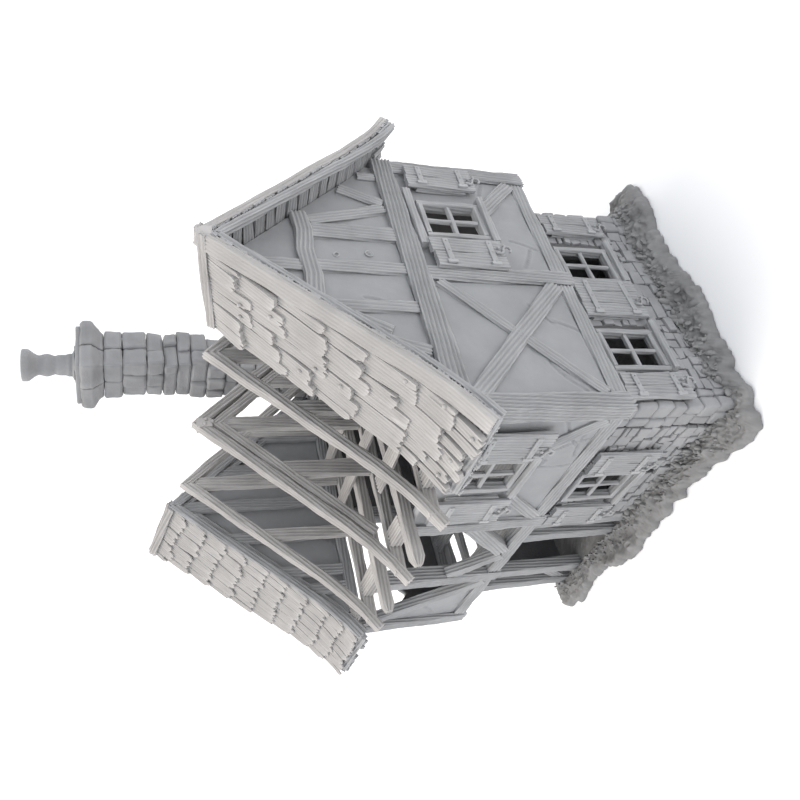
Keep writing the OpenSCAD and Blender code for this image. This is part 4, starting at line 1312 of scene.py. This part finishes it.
def ragged(seed):
    """A split end, almost square, with worn corners and here and there a notch."""
    teeth = [seed.uniform(-0.35, 0.3) for _ in range(8)]
    teeth[seed.randrange(8)] -= seed.choice((0, 0.8, 1.4))
    return lambda across: teeth[min(7, round(across * 7))] - 0.5 * abs(2 * across - 1) ** 6


def shake_course(cage, ends, tops, side, y_top, y_low, seed, widths, thick, shape, x_to, stagger, gap=0.3):
    """One course of shakes, as far as x_to, each pushed up or down by the stagger. Some are nailed."""
    x = ends[0] + seed.uniform(-2.0, 0)
    while x < x_to - 1.5:
        wide = min(seed.uniform(*widths), x_to - x)
        if x + wide > ends[0] + 1:
            left = max(x, ends[0] + seed.uniform(0, 0.4))
            low_end = min(65.2, y_low + seed.uniform(-stagger, stagger))
            shake(cage, ends, tops, side, left, x + wide - left - gap, y_top, low_end,
                  seed, thick, shape(seed), lift=seed.uniform(0, 0.3 * stagger))
            if stagger > 2 and seed.random() < 0.22:
                nail_x = left + wide * seed.uniform(0.3, 0.6)
                stud(cage, on_slope(nail_x, low_end - 2.6, side, ends, tops, 0.4 + thick / 2), 0.5)
        x += wide


splitters = random.Random(83)
cage = new_cage()
course_ends = [11, 20, 29, 38, 47, 56, 64]
barge_x = right_ends[1] - 5.6
for side in (-1, 1):
    start = 0.4
    for y_low in course_ends:
        widths, gap = ((3.4, 4.8), 0.9) if y_low == course_ends[-1] else ((4.2, 6.8), 0.3)
        shake_course(cage, right_ends, right_tops, side, start, y_low, splitters, widths, 1.7, ragged,
                     barge_x, 2.6, gap)
        start = y_low - 4.2
split_carving = carving(0.00032, 0.4)
make_piece("shakes_right", cage, "roof", roofing, ["right_shingles"], split_carving)


def edge_boards(ends, tops, y_end, boards, seed):
    """Bent boards along the edge of a roof: how far in from its end, wide, lift and tall."""
    cage = new_cage()
    ys = [y_end * i / 12 for i in range(13)]
    for side in (-1, 1):
        for inset, wide, lift, tall in boards:
            path = [on_slope(ends[1] - inset, y, side, ends, tops, lift) for y in ys]
            beam(cage, path, wide, tall, up=(0, side * 0.75, 0.66), seed=seed, mitre=True)
    return cage


cage = edge_boards(right_ends, right_tops, 64.6, ((2.9, 5.6, -0.5, 1.4), (1.0, 1.6, -1.6, 1.0)), splitters)
make_piece("barge_boards", cage, "roof", roofing, (), split_carving)

# ---- Shingles of the left roof ----
# Short thin shingles with rounded and chipped lower ends, in close courses, and two boards that
# close the edge of the roof above the bare trusses.


def scallop(seed):
    """A rounded end with a chip here and there."""
    depth, chip_at = seed.uniform(0.7, 1.3), seed.random()
    return lambda across: -depth * (2 * across - 1) ** 2 - (0.7 if abs(across - chip_at) < 0.12 else 0)


tilers = random.Random(91)
cage = new_cage()
course_ends = [6.5, 13, 19.5, 26, 32.5, 39, 45.5, 52, 58, 64]
for side in (-1, 1):
    start = 0.4
    for y_low in course_ends:
        shake_course(cage, left_ends, left_tops, side, start, y_low, tilers, (4.2, 6.2), 0.6, scallop,
                     left_ends[1], 0.8)
        start = y_low - 2.2
make_piece("shingles_left", cage, "roof", roofing, ["left_shingles"], split_carving)
cage = edge_boards(left_ends, left_tops, 63.6, ((0.2, 1.5, -1.9, 3.4), (2.6, 2.6, -4.8, 2.8)), tilers)
make_piece("edge_boards_left", cage, "roof", timber, (), carved)

# ---- Laths at the eaves ----
# Thin sticks that poke out past the lowest course and run under it.
cage = new_cage()
laths = random.Random(97)
for ends, tops in ((right_ends, right_tops), (left_ends, left_tops)):
    for side in (-1, 1):
        for k in range(9):
            x = ends[0] + 1.5 + (ends[1] - ends[0] - 3) * k / 8 + laths.uniform(-0.7, 0.7)
            y0, y1 = 57, 65.5 + laths.uniform(-1.2, 0.6)
            path = [on_slope(x, y, side, ends, tops, -3.4 + laths.uniform(-0.1, 0.1))
                    for y in (y0, (y0 + y1) / 2, y1)]
            beam(cage, path, laths.uniform(1.6, 2.4), 1.3, up=(0, side * 0.6, 0.8), seed=laths)
make_piece("eave_laths", cage, "roof", timber, (), carved)

# ---- Ridge caps ----
# Two boards laid over each ridge, with a squared block under their end at the gable.
cage = new_cage()
for ends, tops in ((right_ends, right_tops), (left_ends, left_tops)):
    for side in (-1, 1):
        path = [on_slope(ends[0] + (ends[1] - ends[0]) * i / 4, 1.3, side, ends, tops, 0.3) for i in range(5)]
        beam(cage, path, 3.1, 0.9, up=out_of_slope(2, side, tops[0]), seed=splitters, wobble=0.12)
x, z = right_ends[1] - 1.8, right_tops[1]
rough_block(cage, (x - 1.7, -1.5, z - 4.5), (x + 1.6, 1.5, z - 0.4), splitters, 0.15)
make_piece("ridge_boards", cage, "roof", roofing, ["ridge_caps"], carved)

# ---- Chimney ----
# A stack of rough squared stones, four or five to a course, each standing out a little more or
# less than its neighbours. It comes apart where the storeys do.
stackers = random.Random(103)
worn_stone = bpy.data.textures.new("worn_stone", "CLOUDS")
worn_stone.noise_scale = 0.0035
weathering = [
    ("BEVEL", {"width": 0.0011, "segments": 2, "limit_method": "ANGLE", "angle_limit": 0.6}),
    ("SUBSURF", {"subdivision_type": "SIMPLE", "levels": 2, "render_levels": 2}),
    ("DISPLACE", {"texture": worn_stone, "texture_coords": "LOCAL", "strength": 0.0009, "mid_level": 0.5}),
]


def chimney_courses(cage, low, high, seed, flush):
    """Courses of stone between two corners. A flush front stays against the wall."""
    z = low.z
    while z < high.z - 0.5:
        top = z + seed.uniform(5.3, 6.9)
        top = high.z if high.z - top < 3.2 else top
        spans = [low.x, low.x + (high.x - low.x) * seed.uniform(0.35, 0.62), high.x]
        if seed.random() < 0.55:
            spans = [low.x, low.x + (high.x - low.x) * 0.3, low.x + (high.x - low.x) * 0.68, high.x]
        middle = low.y + (high.y - low.y) * seed.uniform(0.4, 0.6)
        for ys in ((low.y, middle), (middle, high.y)):
            for x0, x1 in zip(spans, spans[1:]):
                a0 = x0 - seed.uniform(-1.0, 1.3) if x0 == low.x else x0 + 0.1
                a1 = x1 + seed.uniform(-1.0, 1.3) if x1 == high.x else x1 - 0.1
                b0 = ys[0] + 0.1 if ys[0] != low.y else ys[0] - (0 if flush else seed.uniform(-1.0, 1.1))
                b1 = ys[1] - 0.1 if ys[1] != high.y else ys[1] + seed.uniform(-1.0, 1.3)
                rough_block(cage, (a0, b0, z + 0.05), (a1, b1, top - 0.05), seed, 0.6)
            spans = [low.x, low.x + (high.x - low.x) * seed.uniform(0.4, 0.6), high.x]
        inner = 1.1
        rough_block(cage, (low.x + inner, low.y + 0.6, z), (high.x - inner, high.y - inner, top), seed, 0)
        z = top


lo, hi = box_mm("chimney_base")
cage = new_cage()
chimney_courses(cage, lo + Vector((0.6, 0, 0)), hi - Vector((0.4, 0.4, 3)), stackers, True)
rough_block(cage, (lo.x + 1, 54.6, hi.z - 3), (hi.x - 1, hi.y - 1, hi.z), stackers, 0)
make_piece("chimney_foot_stones", cage, "ground_floor", stone, ["chimney_base"], weathering)
lo, hi = box_mm("chimney_middle")
cage = new_cage()
chimney_courses(cage, lo + Vector((0.4, 0, 0)), hi - Vector((0.4, 0.3, 0)), stackers, True)
make_piece("chimney_middle_stones", cage, "upper_floor", stone, ["chimney_middle"], weathering)
lo, hi = box_mm("chimney_stack")
cage = new_cage()
step_z = lo.z + 52
chimney_courses(cage, lo - Vector((1.6, 1.2, 0)), Vector((hi.x - 1.2, hi.y - 1.4, step_z)), stackers, False)
chimney_courses(cage, Vector((lo.x - 0.4, lo.y, step_z)), hi + Vector((0.8, 0.6, -7.4)), stackers, False)
centre = (lo + hi) / 2
for sx in (-1, 1):
    for sy in (-1, 1):
        p = (centre.x + 0.1 * sx, centre.y + 0.1 * sy, hi.z - 7.3)
        q = (centre.x + sx * 10.9, centre.y + sy * 9.6, hi.z - 0.1)
        rough_block(cage, *sorted_box(p, q), stackers, 0.35)
make_piece("chimney_stack_stones", cage, "roof", stone, ["chimney_stack"], weathering)

# ---- Chimney cap ----
# Four moulded stones that step out from the stack, a plain slab on top of them, and a seat for
# the pot.
lo, hi = box_mm("chimney_cap")
cage = new_cage()
centre = (lo + hi) / 2
half = (hi - lo) / 2
cove = [(0.72, 0.0), (0.78, 1.4), (1.0, 4.4), (1.0, 8.2), (0.94, 9.0)]
splits = [(-1.0, -0.05), (-0.05, 1.0)]
gap = 0.3
for u0, u1 in splits:
    for v0, v1 in splits:
        shift = stackers.uniform(-0.02, 0.03)
        rings = []
        for share, z in cove:
            share += shift
            us = [u * (share if abs(u) == 1 else 1) for u in (u0, u1)]
            vs = [v * (share if abs(v) == 1 else 1) for v in (v0, v1)]
            ring = [(us[0], vs[0]), (us[1], vs[0]), (us[1], vs[1]), (us[0], vs[1])]
            mid_u, mid_v = sum(us) / 2, sum(vs) / 2
            rings.append([
                cage.verts.new((centre.x + half.x * u + (gap if u < mid_u else -gap),
                                centre.y + half.y * v + (gap if v < mid_v else -gap), lo.z + z))
                for u, v in ring
            ])
        cage.faces.new(rings[0])
        cage.faces.new(rings[-1])
        for low, high in zip(rings, rings[1:]):
            for k in range(4):
                cage.faces.new((low[k], low[(k + 1) % 4], high[(k + 1) % 4], high[k]))
for share, z0, z1, slack in ((0.86, lo.z + 7, hi.z - 0.3, 0.2), (0.45, hi.z - 1, hi.z + 0.3, 0.1)):
    rough_block(cage, (centre.x - half.x * share, centre.y - half.y * share, z0),
                (centre.x + half.x * share, centre.y + half.y * share, z1), stackers, slack)
make_piece("cap_stones", cage, "roof", stone, ["chimney_cap"], weathering)

# ---- Chimney pot ----
# A turned clay pot with a spread foot, two rolls on its neck and a flared rim, hollow at the top.
lo, hi = box_mm("chimney_pot")
pot_h = hi.z - lo.z
profile = [
    (0, pot_h - 5), (2.6, pot_h - 5), (4.6, pot_h - 0.2), (4.9, pot_h), (6.5, pot_h), (6.7, pot_h - 0.2),
    (6.7, pot_h - 2.4), (6.4, pot_h - 2.8), (4.8, pot_h - 4.6), (4.1, pot_h - 6), (4.0, pot_h - 6.6),
    (4.5, 12.1), (4.8, 11.0), (4.6, 9.8), (3.9, 8.2), (3.8, 7.6), (4.15, 6.9), (4.3, 6.3), (4.3, 4.5),
    (4.3, 3.4), (4.75, 3.0), (4.8, 1.6), (4.7, 1.3), (5.2, 1.0), (6.6, 0.4), (6.6, 0), (0, 0),
]
cage = bmesh.new()
profile_verts = [cage.verts.new((r * MM, 0, z * MM)) for r, z in profile]
for a, b in zip(profile_verts, profile_verts[1:]):
    cage.edges.new((a, b))
pot_mesh = bpy.data.meshes.new("turned_pot")
cage.to_mesh(pot_mesh)
cage.free()
pot = bpy.data.objects.new("turned_pot", pot_mesh)
scene.collection.objects.link(pot)
turning = pot.modifiers.new("turning", "SCREW")
turning.steps = turning.render_steps = 48
turning.use_merge_vertices = True
turning.merge_threshold = 0.00002
turning.use_smooth_shade = True
softening = pot.modifiers.new("softening", "SUBSURF")
softening.levels = softening.render_levels = 1
fired_pot = bpy.data.meshes.new_from_object(pot.evaluated_get(bpy.context.evaluated_depsgraph_get()))
pot.modifiers.clear()
pot.data = fired_pot
bpy.data.meshes.remove(pot_mesh)
centre = (lo + hi) / 2
fired_pot.transform(Matrix.Translation(Vector((centre.x, centre.y, lo.z)) * MM))
fired_pot.materials.clear()
fired_pot.materials.append(stone)
fired_pot.shade_smooth()
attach(pot, "roof")
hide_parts("chimney_pot")
